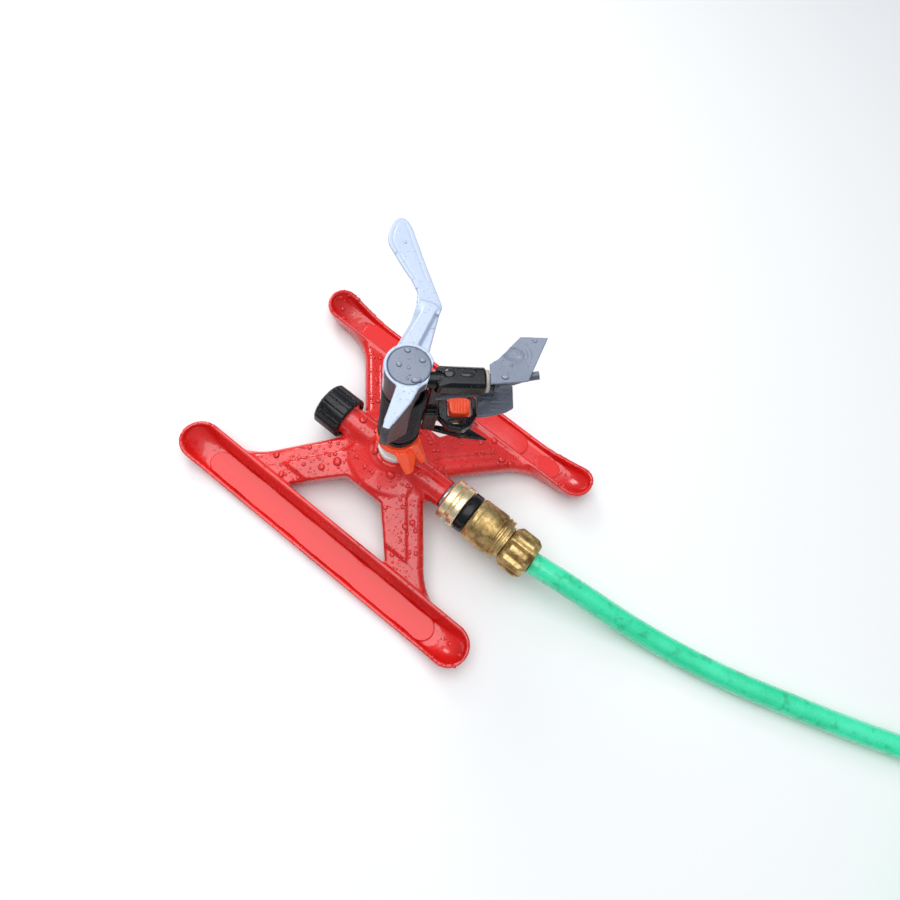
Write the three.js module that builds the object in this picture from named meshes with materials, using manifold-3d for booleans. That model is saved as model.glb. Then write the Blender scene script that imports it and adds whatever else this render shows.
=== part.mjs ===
// An impulse lawn sprinkler on a moulded sled base, with its brass hose connector and hose.
// Millimetres, +Z up. X runs along the sled's hub tube towards the hose, and the sprinkler
// head turns about the Z axis. The origin lies on the ground, midway between the runners.

import * as THREE from 'three';
import { mergeVertices } from 'three/addons/utils/BufferGeometryUtils.js';
import Module from 'manifold-3d';

const wasm = await Module();
wasm.setup();

// ---------------------------------------------------------------- driving dimensions

const GAP = 0.3;                       // clearance between neighbouring pieces
const DEG = Math.PI / 180;

// sled base
const RUNNER_LENGTH = 266;
const RUNNER_WIDTH = 32;
const RUNNER_HEIGHT = 19;              // rim height at the ends and along the inner side
const LIP_HEIGHT = 6.5;                // rim height along the middle of the outer side
const RUNNER_Y = 82;                   // centre line of a runner
const TIP_RISE = 26;                   // length over which a runner's ends sweep up
const WALL = 2.8;
const LEG_DEPTH = 9;
const LEG_TOP_AT_HUB = 31;             // height of a leg's top at LEG_HUB_Y
const LEG_HUB_Y = 14;
const LEG_SLOPE = -0.22;
const WINDOW_HALF = { near: 44, far: 30 };   // half length of a leg window along its runner
const TUBE_Z = 28;                     // height of the hub tube's axis
const TUBE_R = 11.3;
const TUBE_BORE = 8;
const INLET_X = 49.5;                  // end of the hub tube on the hose side
const OUTLET_X = -60;                  // end of the hub tube on the cap side
const THREAD_R = 13.1;
const BOSS_TOP = 41;
const BOSS_R = 15.5;
const BOSS_BORE = 8.7;

// hose line
const CAP_R = 16.9;
const CAP_MOUTH_X = OUTLET_X + 17;
const CAP_END_X = OUTLET_X - 5.5;
const CAP_GRIPS = 16;
const NUT_LOBES = 8;
const HOSE_R = 8.5;
const HOSE_EXIT_X = 128.7;             // where the hose meets the nut's mouth
const LEAD_ROUTE = [                   // the hose comes down to the ground and runs to the coil
  [HOSE_EXIT_X, 0, 28], [136, 0.9, 27.8], [153, 3.4, 26.4], [170.4, 6, 23.6], [188, 8.9, 19.6],
  [205.6, 12, 15.4], [223, 15.4, 11.8], [240.6, 18.8, 9.4], [258, 22.2, 8.8], [286, 28.2, 8.8],
  [311, 35, 8.8], [337, 43, 8.8], [364, 51.5, 8.8], [392, 60.8, 8.8], [421, 71.2, 8.8],
  [450, 81, 8.8], [480, 88.5, 8.8], [521, 95, 8.8]];
const COIL_CENTRE = [590, 0];
const COIL_MID_R = 89.5;               // middle of the coil's turns, two wide and two high
const TAIL_TURN = { from: -70, to: -260 };   // azimuths of the half turn that lies on the coil
const TAIL_LIFT = 60;                  // degrees over which the tail moves in and up to its nut
const TAIL_END_R = 88;
const TAIL_Z = { low: 43.1, high: 51.7 };

// sprinkler head
const HEAD_AZIMUTH = 40;               // barrel direction, degrees from +X
const ARM_AZIMUTH = 113;               // swing arm direction, degrees from +X
const COLLAR_TOP = 73.5;               // top of the bearing nipple
const CLIP_BOTTOM = 66;
const SPRING_R = 13.2;                 // mean radius of the swing arm's return spring
const BARREL_Z = 146;
const BARREL_END = 49.7;
const BARREL_R = 5.2;
const BARREL_BORE = 3.4;
const NOZZLE_PITCH = 22;
const ARM_TOP = 162;
const ARM_RING_R = 14.5;
const DISC_R = 12.2;
const DEFLECTOR_PIVOT = 50;            // the deflector's pin, along the head
const DEFLECTOR_Z = 155.2;
const FRAME = [36.6, 1.5];             // along and across the head, the middle of the button's frame
const BUTTON = [37.9, 2.8];
const TRIP_PIN = [42, -4.6];           // along and across the head

// ---------------------------------------------------------------- finishes

const finish = (color, roughness, metalness = 0) => new THREE.MeshStandardMaterial({ color, roughness, metalness });
const RED = () => finish(0xd8362e, 0.35);
const BLACK = () => finish(0x23252b, 0.5);
const GREY = () => finish(0x8d95a6, 0.45);
const DARK_GREY = () => finish(0x44474f, 0.5);
const ORANGE = () => finish(0xf0501f, 0.4);
const WHITE = () => finish(0xe9ebe8, 0.4);
const RUBBER = () => finish(0x1a1a1c, 0.8);
const SILVER = () => finish(0xc9d0da, 0.35, 0.7);
const STEEL = () => finish(0xa7abb0, 0.3, 1);
const PALE_BRASS = () => finish(0xe6cf9c, 0.35, 1);
const CAST_BRASS = () => finish(0xb08d4f, 0.45, 1);
const HOSE_GREEN = () => finish(0x3fce98, 0.4);

// ---------------------------------------------------------------- geometry helpers

// Positions only, shared vertices merged, flat triangles dropped, faces pointing out.
function closed(geometry) {
  geometry.deleteAttribute('normal');
  geometry.deleteAttribute('uv');
  const merged = mergeVertices(geometry, 1e-4);
  const p = merged.attributes.position;
  const index = merged.index.array;
  const kept = [];
  const a = new THREE.Vector3();
  const b = new THREE.Vector3();
  const c = new THREE.Vector3();
  let volume = 0;
  for (let i = 0; i < index.length; i += 3) {
    const [i0, i1, i2] = [index[i], index[i + 1], index[i + 2]];
    if (i0 === i1 || i1 === i2 || i0 === i2) continue;
    kept.push(i0, i1, i2);
    a.fromBufferAttribute(p, i0);
    b.fromBufferAttribute(p, i1);
    c.fromBufferAttribute(p, i2);
    volume += a.dot(b.cross(c));
  }
  if (volume < 0) kept.reverse();
  merged.setIndex(kept);
  return merged;
}

function solid(geometry) {
  const shape = closed(geometry);
  return new wasm.Manifold(new wasm.Mesh({
    numProp: 3,
    vertProperties: new Float32Array(shape.attributes.position.array),
    triVerts: new Uint32Array(shape.index.array),
  }));
}

const join = (...shapes) => shapes.map(solid).reduce((sum, next) => sum.add(next));
const cut = (from, ...tools) => tools.map(solid).reduce((rest, tool) => rest.subtract(tool), from);
const common = (...shapes) => shapes.map(solid).reduce((sum, next) => sum.intersect(next));

function geometryOf(manifold) {
  const mesh = manifold.getMesh();
  const geometry = new THREE.BufferGeometry();
  geometry.setAttribute('position', new THREE.BufferAttribute(mesh.vertProperties, 3));
  geometry.setIndex(new THREE.BufferAttribute(mesh.triVerts, 1));
  return geometry;
}

// A turned shape about Z from [radius, height] pairs. A profile off the axis closes on itself.
function turned(profile, segments = 32) {
  const points = profile.map(([r, z]) => new THREE.Vector2(r, z));
  const touchesAxis = points[0].x === 0 && points[points.length - 1].x === 0;
  if (!touchesAxis) points.push(points[0].clone());
  return new THREE.LatheGeometry(points, segments).rotateX(Math.PI / 2);
}

const ring = (outer, inner, z0, z1, segments = 32) =>
  turned([[inner, z0], [outer, z0], [outer, z1], [inner, z1]], segments);
const rod = (radius, z0, z1, segments = 32) =>
  turned([[0, z0], [radius, z0], [radius, z1], [0, z1]], segments);

// The same turned shapes lying along X instead of standing along Z.
const alongX = (geometry, z = 0) => geometry.rotateY(Math.PI / 2).translate(0, 0, z);
// A shape standing in the XY plane is laid so that its X stays and its Y becomes Z.
const upright = (geometry) => geometry.rotateX(Math.PI / 2);

const block = (x0, x1, y0, y1, z0, z1) => new THREE.BoxGeometry(x1 - x0, y1 - y0, z1 - z0)
  .translate((x0 + x1) / 2, (y0 + y1) / 2, (z0 + z1) / 2);

const outline = (points) => new THREE.Shape(points.map(([x, y]) => new THREE.Vector2(x, y)));
const slab = (shape, z0, z1, segments = 8) =>
  new THREE.ExtrudeGeometry(shape, { depth: z1 - z0, bevelEnabled: false, curveSegments: segments })
    .translate(0, 0, z0);

// A rounded rectangle about the origin.
function roundedRectangle(width, height, radius) {
  const [w, h] = [width / 2, height / 2];
  const shape = new THREE.Shape();
  shape.absarc(w - radius, h - radius, radius, 0, Math.PI / 2);
  shape.absarc(radius - w, h - radius, radius, Math.PI / 2, Math.PI);
  shape.absarc(radius - w, radius - h, radius, Math.PI, 1.5 * Math.PI);
  shape.absarc(w - radius, radius - h, radius, 1.5 * Math.PI, 2 * Math.PI);
  return shape;
}

// A polygon with each corner rounded by a quadratic curve that starts `reach` before it.
function softPolygon(points, reach) {
  const shape = new THREE.Shape();
  const corners = points.map(([x, y]) => new THREE.Vector2(x, y));
  corners.forEach((corner, i) => {
    const before = corners[(i + corners.length - 1) % corners.length];
    const after = corners[(i + 1) % corners.length];
    const entry = corner.clone().add(before.clone().sub(corner).setLength(reach));
    const exit = corner.clone().add(after.clone().sub(corner).setLength(reach));
    if (i === 0) shape.moveTo(entry.x, entry.y);
    else shape.lineTo(entry.x, entry.y);
    shape.quadraticCurveTo(corner.x, corner.y, exit.x, exit.y);
  });
  shape.closePath();
  return shape;
}

// A round wire wound about Z.
function coilSpring(radius, wire, z0, z1, turns, sidesPerTurn = 14, sides = 6) {
  class Helix extends THREE.Curve {
    getPoint(t, target = new THREE.Vector3()) {
      const angle = 2 * Math.PI * turns * t;
      return target.set(radius * Math.cos(angle), radius * Math.sin(angle), z0 + (z1 - z0) * t);
    }
  }
  return extrudeAlong(new Helix(), wire, Math.round(turns * sidesPerTurn), sides);
}

function extrudeAlong(curve, radius, steps, sides) {
  const section = new THREE.Shape();
  for (let i = 0; i < sides; i += 1) {
    const angle = (2 * Math.PI * i) / sides;
    const [x, y] = [radius * Math.cos(angle), radius * Math.sin(angle)];
    if (i === 0) section.moveTo(x, y);
    else section.lineTo(x, y);
  }
  section.closePath();
  return new THREE.ExtrudeGeometry(section, { steps, extrudePath: curve, bevelEnabled: false });
}

// ---------------------------------------------------------------- the assembly

const sprinkler = new THREE.Group();
const hoseLine = new THREE.Group();         // local Z lies along world X on the tube's axis
hoseLine.rotation.y = Math.PI / 2;
hoseLine.position.z = TUBE_Z;
const head = new THREE.Group();             // local X lies along the barrel
head.rotation.z = HEAD_AZIMUTH * DEG;
const arm = new THREE.Group();              // local X lies along the swing arm
arm.rotation.z = ARM_AZIMUTH * DEG;
sprinkler.add(hoseLine, head, arm);

function add(name, shape, material, parent = sprinkler) {
  const geometry = shape instanceof THREE.BufferGeometry ? closed(shape) : geometryOf(shape);
  const mesh = new THREE.Mesh(geometry, material);
  mesh.name = name;
  parent.add(mesh);
}

// ---------------------------------------------------------------- sled base

// A runner's boat shape, moved in by `inset` on every side: its plan, side and end outlines
// cut each other.
function boat(inset, top) {
  const half = RUNNER_LENGTH / 2 - inset;
  const width = RUNNER_WIDTH - 2 * inset;
  const foot = width / 2 - 6;
  const plan = slab(roundedRectangle(2 * half, width, width / 2 - 0.01), 0, 40, 8);
  const keel = new THREE.Shape();
  keel.moveTo(half - TIP_RISE, inset);
  keel.quadraticCurveTo(half - 6, inset + 1, half + 4, RUNNER_HEIGHT);
  keel.lineTo(half + 4, top);
  keel.lineTo(-half - 4, top);
  keel.lineTo(-half - 4, RUNNER_HEIGHT);
  keel.quadraticCurveTo(6 - half, inset + 1, TIP_RISE - half, inset);
  keel.closePath();
  const side = upright(slab(keel, -30, 30, 6));
  const end = outline([[-foot, inset], [foot, inset], [width / 2, RUNNER_HEIGHT],
    [width / 2, 40], [-width / 2, 40], [-width / 2, RUNNER_HEIGHT]]);
  const section = upright(slab(end, -200, 200)).rotateZ(Math.PI / 2);
  return common(plan, side, section);
}

// What is cut away above the low outer lip, on the +Y side of a runner.
function lipCut() {
  const half = RUNNER_LENGTH / 2;
  const opening = new THREE.Shape();
  opening.moveTo(half + 1, RUNNER_HEIGHT + 1);
  opening.quadraticCurveTo(half - 26, LIP_HEIGHT + 1, half - 60, LIP_HEIGHT);
  opening.lineTo(60 - half, LIP_HEIGHT);
  opening.quadraticCurveTo(26 - half, LIP_HEIGHT + 1, -half - 1, RUNNER_HEIGHT + 1);
  opening.closePath();
  return upright(slab(opening, -20, 0, 8));
}

// The pair of legs on the +Y side with the hub plate between them, moved in by `inset`.
function legPair(inset, windowHalf) {
  const slant = inset * 1.3;
  const shape = new THREE.Shape();
  shape.moveTo(40 - slant, 0);
  shape.lineTo(40 - slant, LEG_HUB_Y);
  shape.lineTo(72 - slant, 52);
  shape.quadraticCurveTo(83 - slant, 65, 102 - slant, 69);
  shape.lineTo(slant - 102, 69);
  shape.quadraticCurveTo(slant - 83, 65, slant - 72, 52);
  shape.lineTo(slant - 40, LEG_HUB_Y);
  shape.lineTo(slant - 40, 0);
  shape.closePath();
  const window = softPolygon([[15.5 + slant / 2, 37 - inset], [windowHalf + slant, 65.5 + inset],
    [-windowHalf - slant, 65.5 + inset], [-15.5 - slant / 2, 37 - inset]], 5);
  shape.holes.push(window);
  return shape;
}

function sloped(geometry) {
  const shear = new THREE.Matrix4().set(
    1, 0, 0, 0,
    0, 1, 0, 0,
    0, LEG_SLOPE, 1, LEG_TOP_AT_HUB - LEG_SLOPE * LEG_HUB_Y,
    0, 0, 0, 1,
  );
  return geometry.applyMatrix4(shear);
}

function sledBase() {
  const hub = () => turned([[0, 22], [26, 23], [31, 30], [24, 33.5], [17.5, 36.5],
    [BOSS_R, BOSS_TOP - 1], [BOSS_R - 1, BOSS_TOP], [0, BOSS_TOP]], 28);
  const tube = () => alongX(turned([[0, OUTLET_X], [THREAD_R, OUTLET_X], [THREAD_R, OUTLET_X + 15],
    [TUBE_R, OUTLET_X + 18], [TUBE_R, INLET_X], [0, INLET_X]], 28), TUBE_Z);
  let body = join(hub(), tube());
  for (const [side, turn] of [['far', 0], ['near', Math.PI]]) {
    const half = WINDOW_HALF[side];
    body = body.add(solid(sloped(slab(legPair(0, half), -LEG_DEPTH, 0)).rotateZ(turn)));
    body = body.subtract(solid(sloped(slab(legPair(WALL, half), -LEG_DEPTH - 9, -WALL)).rotateZ(turn)));
  }
  body = body.add(join(hub(), tube()));
  const outer = geometryOf(boat(0, RUNNER_HEIGHT));
  const inner = geometryOf(boat(WALL, RUNNER_HEIGHT + 20));
  const lip = closed(lipCut());
  for (const turn of [0, Math.PI]) {
    const place = (geometry) => solid(geometry.clone().translate(0, RUNNER_Y, 0).rotateZ(turn));
    body = body.add(place(outer)).subtract(place(inner)).subtract(place(lip));
  }
  return cut(body, alongX(rod(TUBE_BORE, OUTLET_X - 1, INLET_X + 1), TUBE_Z),
    rod(BOSS_BORE, TUBE_Z, BOSS_TOP + 1));
}
add('sled_base', sledBase(), RED());

// ---------------------------------------------------------------- cap on the outlet end

function endCap() {
  let cap = solid(turned([[0, CAP_END_X], [CAP_R - 1.5, CAP_END_X], [CAP_R, CAP_END_X + 1.5],
    [CAP_R, CAP_MOUTH_X - 1], [CAP_R - 1, CAP_MOUTH_X], [0, CAP_MOUTH_X]], 32));
  cap = cap.subtract(solid(rod(THREAD_R + GAP, OUTLET_X - 3, CAP_MOUTH_X + 1)));
  for (let i = 0; i < CAP_GRIPS; i += 1) {
    const groove = rod(0.9, CAP_END_X + 3, CAP_MOUTH_X + 1, 6).translate(CAP_R + 0.3, 0, 0);
    cap = cap.subtract(solid(groove.rotateZ((2 * Math.PI * i) / CAP_GRIPS)));
  }
  return cap;
}
add('end_cap', endCap(), BLACK(), hoseLine);
add('end_cap_seal', ring(THREAD_R - 0.2, TUBE_BORE, OUTLET_X - 2.7, OUTLET_X - GAP), RUBBER(), hoseLine);

// ---------------------------------------------------------------- brass tap adaptor

function tapAdaptor() {
  const outside = turned([[0, 52], [15, 52], [15.9, 53], [15.9, 56], [14.6, 57], [14.6, 60.5],
    [16.3, 61.5], [16.3, 65.5], [15.2, 66.5], [9.6, 67], [9.6, 72], [8, 74], [8, 79], [9.2, 80.5],
    [9.2, 83], [0, 83]], 24);
  return cut(join(outside, rod(7.6, 42, 53, 20)), rod(5.4, 41, 84, 16));
}
add('inlet_washer', ring(11, 7.9, INLET_X + GAP, 51.7, 24), STEEL(), hoseLine);
add('tap_adaptor', tapAdaptor(), PALE_BRASS(), hoseLine);
add('adaptor_seal', ring(9.3, 8.3, 74.6, 78.4, 24), RUBBER(), hoseLine);

// ---------------------------------------------------------------- brass hose connectors

// A spring ring with three teeth that grip the adaptor's groove.
function lockingRing() {
  let grip = solid(ring(12.7, 11.9, 79, 84.5, 24));
  for (let i = 0; i < 3; i += 1) {
    const tooth = common(ring(12.3, 10.35, 79, 84.5, 24), block(8, 14, -2.6, 2.6, 78, 86));
    grip = grip.add(solid(geometryOf(tooth).rotateZ(120 * i * DEG)));
  }
  return grip;
}

function hoseNut() {
  let nut = solid(turned([[0, 107], [13.4, 107], [15.6, 110.5], [15.6, 124], [14, 128.4], [0, 128.4]], 24));
  for (let i = 0; i < NUT_LOBES; i += 1) {
    const turn = (2 * Math.PI * (i + 0.5)) / NUT_LOBES;
    const flute = rod(2.2, 106, 122, 8).translate(17, 0, 0).rotateZ(turn);
    nut = nut.subtract(solid(flute));
  }
  return cut(nut, rod(11.6, 106, 119.5, 24), rod(HOSE_R + 2.2, 119, 125, 24),
    rod(HOSE_R + 0.4, 124, 130, 20));
}

function connectorCore() {
  const outside = turned([[0, 76], [10, 76], [10, 96.8], [12.7, 97.4], [12.7, 106], [11.2, 106.5],
    [11.2, 118], [0, 118]], 24);
  return cut(join(outside, rod(6, 112, 127, 20)), rod(4.6, 75, 128, 16), rod(9.5, 75, 90, 24));
}

// A connector along local Z with its hose entering at the high end.
function hoseConnector(prefix, line) {
  add(`${prefix}connector_sleeve`, turned([[13.1, 75.3], [15.4, 75.3], [16.6, 77.5], [16.6, 86],
    [17, 92], [16.6, 97], [15.5, 97.6], [15.5, 98.6], [16.4, 99.2], [16.4, 100.6], [15.5, 101.2],
    [15.5, 102.2], [16.2, 102.8], [16.2, 104], [13.1, 104]], 24), CAST_BRASS(), line);
  add(`${prefix}connector_core`, connectorCore(), CAST_BRASS(), line);
  add(`${prefix}hose_nut`, hoseNut(), CAST_BRASS(), line);
  add(`${prefix}hose_clamp_ring`, ring(HOSE_R + 1.9, HOSE_R + GAP, 119.8, 123.8, 20), WHITE(), line);
}
hoseConnector('', hoseLine);
add('connector_collar', ring(15.9, 10.2, 67.6, 74.7, 28), BLACK(), hoseLine);
add('locking_ring', lockingRing(), STEEL(), hoseLine);
add('sleeve_spring', coilSpring(11.6, 0.7, 88, 95.5, 4, 10, 5), STEEL(), hoseLine);

// ---------------------------------------------------------------- hose

// The last half turn lies on the coil. The far connector at its end lies there too.
function tailRoute() {
  const steps = 10;
  return Array.from({ length: steps + 1 }, (_, i) => {
    const azimuth = TAIL_TURN.from + ((TAIL_TURN.to - TAIL_TURN.from) * i) / steps;
    const lift = THREE.MathUtils.smoothstep(TAIL_TURN.to - azimuth, -TAIL_LIFT, 0);
    const radius = THREE.MathUtils.lerp(COIL_MID_R + HOSE_R, TAIL_END_R, lift);
    return [COIL_CENTRE[0] + radius * Math.cos(azimuth * DEG), COIL_CENTRE[1] + radius * Math.sin(azimuth * DEG),
      THREE.MathUtils.lerp(TAIL_Z.low, TAIL_Z.high, lift)];
  });
}

const routeOf = (points) => new THREE.CatmullRomCurve3(points.map((p) => new THREE.Vector3(...p)));
add('hose', extrudeAlong(routeOf(LEAD_ROUTE), HOSE_R, 20, 10), HOSE_GREEN());
add('hose_coil', ring(COIL_MID_R + 2 * HOSE_R, COIL_MID_R - 2 * HOSE_R, GAP, GAP + 4 * HOSE_R, 40)
  .translate(...COIL_CENTRE, 0), HOSE_GREEN());
const tail = tailRoute();
add('hose_tail', extrudeAlong(routeOf(tail), HOSE_R, 14, 10), HOSE_GREEN());

const farHeading = new THREE.Group();
farHeading.position.set(...tail[tail.length - 1]);
farHeading.rotation.z = (TAIL_TURN.to - 90) * DEG;
const farLine = new THREE.Group();
farLine.rotation.y = -Math.PI / 2;
farLine.position.x = HOSE_EXIT_X;
farHeading.add(farLine);
sprinkler.add(farHeading);
hoseConnector('far_', farLine);

// ---------------------------------------------------------------- bearing under the head

add('bearing_nipple', turned([[6.3, 35.3], [8.4, 35.3], [8.4, 41.3], [12.5, 41.3], [12.5, 46],
  [11, 46.3], [11, COLLAR_TOP], [9.3, COLLAR_TOP], [9.3, 56], [6.3, 56]], 24), WHITE());
add('spindle', turned([[4, 31], [7.8, 31], [7.8, 33.6], [5.9, 33.6], [5.9, 91.5], [4, 91.5]], 24),
  STEEL(), head);
add('spindle_washer', ring(8.1, 6.2, 33.9, 35, 24), RUBBER(), head);
add('friction_spring', coilSpring(7.6, 0.7, 57.1, 72.1, 5, 10, 5), STEEL(), head);
add('thrust_washer', ring(9, 6.2, 73.1, 74, 24), WHITE(), head);

// A clip ring with a tab that hangs outwards and down, its tab on local X.
function sectorClip(z) {
  const profile = outline([[12.4, z], [12.4, z + 3.2], [15.4, z + 3.2], [24.5, z - 14],
    [23.4, z - 18], [20.6, z - 16.5], [15.2, z]]);
  const tab = upright(slab(profile, -3.6, 3.6));
  return join(ring(14.8, 11.4, z, z + 3.2, 28), tab);
}
const clips = [['sector_clip_left', CLIP_BOTTOM - 3.6, -27], ['sector_clip_right', CLIP_BOTTOM, 4]];
for (const [name, z, azimuth] of clips) {
  const clip = new THREE.Group();
  clip.rotation.z = azimuth * DEG;
  sprinkler.add(clip);
  add(name, sectorClip(z), ORANGE(), clip);
}

// ---------------------------------------------------------------- sprinkler head

// A shape drawn in the YZ plane and drawn out along X.
const beam = (shape, x0, x1, z = 0) => slab(shape, x0, x1)
  .rotateX(Math.PI / 2).rotateZ(Math.PI / 2).translate(0, 0, z);

function bodyCasting() {
  const tower = turned([[0, 74.3], [14.6, 74.3], [14.6, 77.7], [11, 78], [11, 132], [9, 136],
    [9, 151.4], [6, 151.4], [6, 154.4], [0, 154.4]], 28);
  const barrel = alongX(rod(BARREL_R, 0, BARREL_END, 24), BARREL_Z);
  const bracket = block(6, 22.7, -7, 7, 88, 112);
  const spine = block(14.8, 22.7, -3, 3, 88, 145);
  return cut(join(tower, barrel, bracket, spine),
    rod(6.2, 74, 92, 24), rod(4.2, 91, BARREL_Z, 20),
    alongX(rod(BARREL_BORE, 0, BARREL_END + 1, 20), BARREL_Z), rod(2.8, 151.2, 155, 16), ring(14.9, 11, 78, 134));
}
add('body_casting', bodyCasting(), BLACK(), head);

function barrelShroud() {
  const [w, h, bevel] = [7.4, 6.4, 2.4];
  const box = outline([[w, bevel - h], [w, h - bevel], [w - bevel, h], [bevel - w, h],
    [-w, h - bevel], [-w, bevel - h], [bevel - w, -h], [w - bevel, -h]]);
  const bore = alongX(rod(BARREL_R + GAP, 22, 54, 24), BARREL_Z);
  return cut(solid(beam(box, 23, BARREL_END - 1, BARREL_Z)), bore);
}
add('barrel_shroud', barrelShroud(), BLACK(), head);
const barrelWasher = ring(6.9, 4.3, BARREL_END + GAP, BARREL_END + 2.2, 24);
add('barrel_washer', alongX(barrelWasher, BARREL_Z), WHITE(), head);

function nozzle() {
  const collar = BARREL_END + 2.5;
  const pitched = (geometry) => geometry.rotateY((90 - NOZZLE_PITCH) * DEG)
    .translate(collar + 2.1, 0, BARREL_Z);
  return cut(join(alongX(rod(6.4, collar, collar + 3.5, 24), BARREL_Z),
    pitched(turned([[0, 0], [4.4, 0], [3.8, 8], [2.6, 19], [2.6, 26], [0, 26]], 20))),
  alongX(rod(3.2, collar - 0.5, collar + 2.9, 16), BARREL_Z), pitched(rod(1.6, 0.5, 27, 12)));
}
add('nozzle', nozzle(), DARK_GREY(), head);

// Jet breaker: a bent plate that turns on a pin and brings its wing over the jet.
function jetDeflector() {
  const plan = softPolygon([[47, -7.5], [63, -6.2], [71, -5.4], [85.6, 24.6], [68.4, 25], [61, 17],
    [54, 9.6], [47, 8]], 1.5);
  const plate = slab(plan, 0, 1.6).translate(-DEFLECTOR_PIVOT, 0, 0).rotateY(-3.5 * DEG)
    .translate(DEFLECTOR_PIVOT, 0, DEFLECTOR_Z);
  return cut(solid(plate), rod(1.9, 150, 160, 16).translate(DEFLECTOR_PIVOT, 0, 0));
}
add('jet_deflector', jetDeflector(), GREY(), head);
add('deflector_pin', turned([[0, 153.2], [1.6, 153.2], [1.6, 157.3], [2.6, 157.4], [2.2, 158.4],
  [0, 158.6]], 16).translate(DEFLECTOR_PIVOT, 0, 0), STEEL(), head);

// Frame on the head's bracket that holds the full or part circle button.
function buttonFrame() {
  const shape = roundedRectangle(27, 25, 7);
  const placed = (points, x, y) =>
    new THREE.Path(points.map((p) => new THREE.Vector2(p.x + x, p.y + y)));
  shape.holes.push(placed(roundedRectangle(16.4, 15, 3).getPoints(4), 1.3, 2.6));
  const lens = Array.from({ length: 12 }, (_, i) => {
    const angle = (-2 * Math.PI * i) / 12;
    return new THREE.Vector2(4.6 * Math.cos(angle), 1.7 * Math.sin(angle));
  });
  shape.holes.push(placed(lens, -1, -8.2));
  return slab(shape, 96.5, 103, 5).translate(...FRAME, 0);
}
add('button_frame', buttonFrame(), BLACK(), head);
const button = slab(roundedRectangle(15, 11.6, 3), 98, 105.5, 5).translate(...BUTTON, 0);
add('circle_button', button, ORANGE(), head);

// Hooded plate under the barrel, with a rounded front edge.
function scalePlate() {
  const plan = softPolygon([[48, 11], [70.3, 11], [69.5, -5], [65, -7.8], [55.5, -10.6], [48, -12]], 2);
  const ridge = beam(roundedRectangle(7, 5, 2.2), 24, 56, 126).translate(0, 2, 0);
  const web = block(49, 55.5, -1, 5, 121, 126);
  return join(slab(plan, 119.6, 122.2), ridge, web);
}
add('scale_plate', scalePlate(), DARK_GREY(), head);

// Pointed lever under the frame that the sector clips push over.
function tripLever() {
  const pointer = outline([[39, -2], [46.5, -1.5], [60.5, -10.6], [45, -9.2]]);
  const finger = outline([[39, -8.4], [18.5, -3], [18.5, 0], [40, -2]]);
  const hub = rod(4.4, 79, 86, 20).translate(...TRIP_PIN, 0);
  return cut(join(hub, slab(pointer, 80, 83), slab(finger, 80, 83)),
    rod(1.8, 78, 87, 16).translate(...TRIP_PIN, 0));
}
add('trip_lever', tripLever(), BLACK(), head);
add('trip_pin', turned([[0, 77.2], [3, 77.2], [3, 78.6], [1.4, 78.7], [1.4, 95.5], [0, 95.5]], 16)
  .translate(...TRIP_PIN, 0), STEEL(), head);
const tripSpring = coilSpring(2.9, 0.45, 86.9, 89.1, 2.5, 10, 5).translate(...TRIP_PIN, 0);
add('trip_spring', tripSpring, STEEL(), head);
add('arm_spring', coilSpring(SPRING_R, 1.2, 79.6, 131.5, 16, 11, 4), STEEL(), head);
add('pivot_post', turned([[0, 151.5], [2.5, 151.5], [2.5, 159.3], [0, 159.3]], 16), STEEL(), head);

// ---------------------------------------------------------------- swing arm

// A bent arm over the barrel: bar and paddle on +X, counterweight fin on -X.
function swingArm() {
  const hub = ring(ARM_RING_R, DISC_R + GAP, 153.4, ARM_TOP, 32);
  const floor = ring(DISC_R + 1, 4.9, 155, 157.6, 32);
  const skirt = new THREE.Shape();
  const [from, to] = [45 * DEG, 217 * DEG];
  skirt.absarc(0, 0, ARM_RING_R, from, to, false);
  skirt.absarc(0, 0, DISC_R + GAP, to, from, true);
  skirt.closePath();
  const bar = outline([[9, 11.5], [46, 7.5], [46, -7], [14, -8.4], [9, -9]]);
  const hollow = outline([[5, 9], [43, 5.2], [43, -4.6], [5, -6]]);
  const paddle = softPolygon([[44, 7.6], [50.7, 8.8], [76.6, 33], [84, 37.5], [101, 36], [97, 27],
    [46, -7], [40, -7]], 2);
  const fin = common(
    slab(outline([[-9, 3], [-40, 3.8], [-52, 2.6], [-52, 0], [-40, -1.6], [-9, -11]]), 100, 170),
    upright(slab(outline([[-9, ARM_TOP], [-42, ARM_TOP], [-49, 158], [-52, 150], [-46, 142],
      [-20, 114], [-19, 147], [-9, 153.4]]), -20, 20)));
  const vane = slab(outline([[90.4, 22.6], [92, 21.4], [99, 28.6], [98, 30.4]]), 146, 161);
  const shell = cut(solid(slab(bar, 153.4, ARM_TOP)), slab(hollow, 150, ARM_TOP - 2.6));
  const body = join(hub, floor, slab(skirt, 137, 154), slab(paddle, ARM_TOP - 2.6, ARM_TOP), vane);
  return cut(body.add(shell).add(fin), rod(DISC_R + GAP, 157.6, ARM_TOP + 1, 32),
    rod(DISC_R + GAP, 130, 155, 32), rod(4.9, 150, 160, 20));
}
add('swing_arm', swingArm(), SILVER(), arm);
add('arm_bush', ring(4.6, 2.8, 154.8, 158.3, 20), WHITE(), arm);
add('arm_cap', turned([[0, 159.7], [DISC_R, 159.7], [DISC_R, 161.4], [11.6, 161.9], [0, 162.1]], 32),
  GREY(), arm);

export default sprinkler;
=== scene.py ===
"""An impulse lawn sprinkler on a moulded sled base, wet from its own spray.

Pieces are drawn in millimetres in the frame of the part they belong to (the sled, the head along
its barrel, the swing arm along its bar, or a hose connector along its hose) and put in place in
metres by one matrix each.
"""

import math
import random

import bmesh
import bpy
import numpy as np
from mathutils import Matrix, Vector
from mathutils.bvhtree import BVHTree


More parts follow.
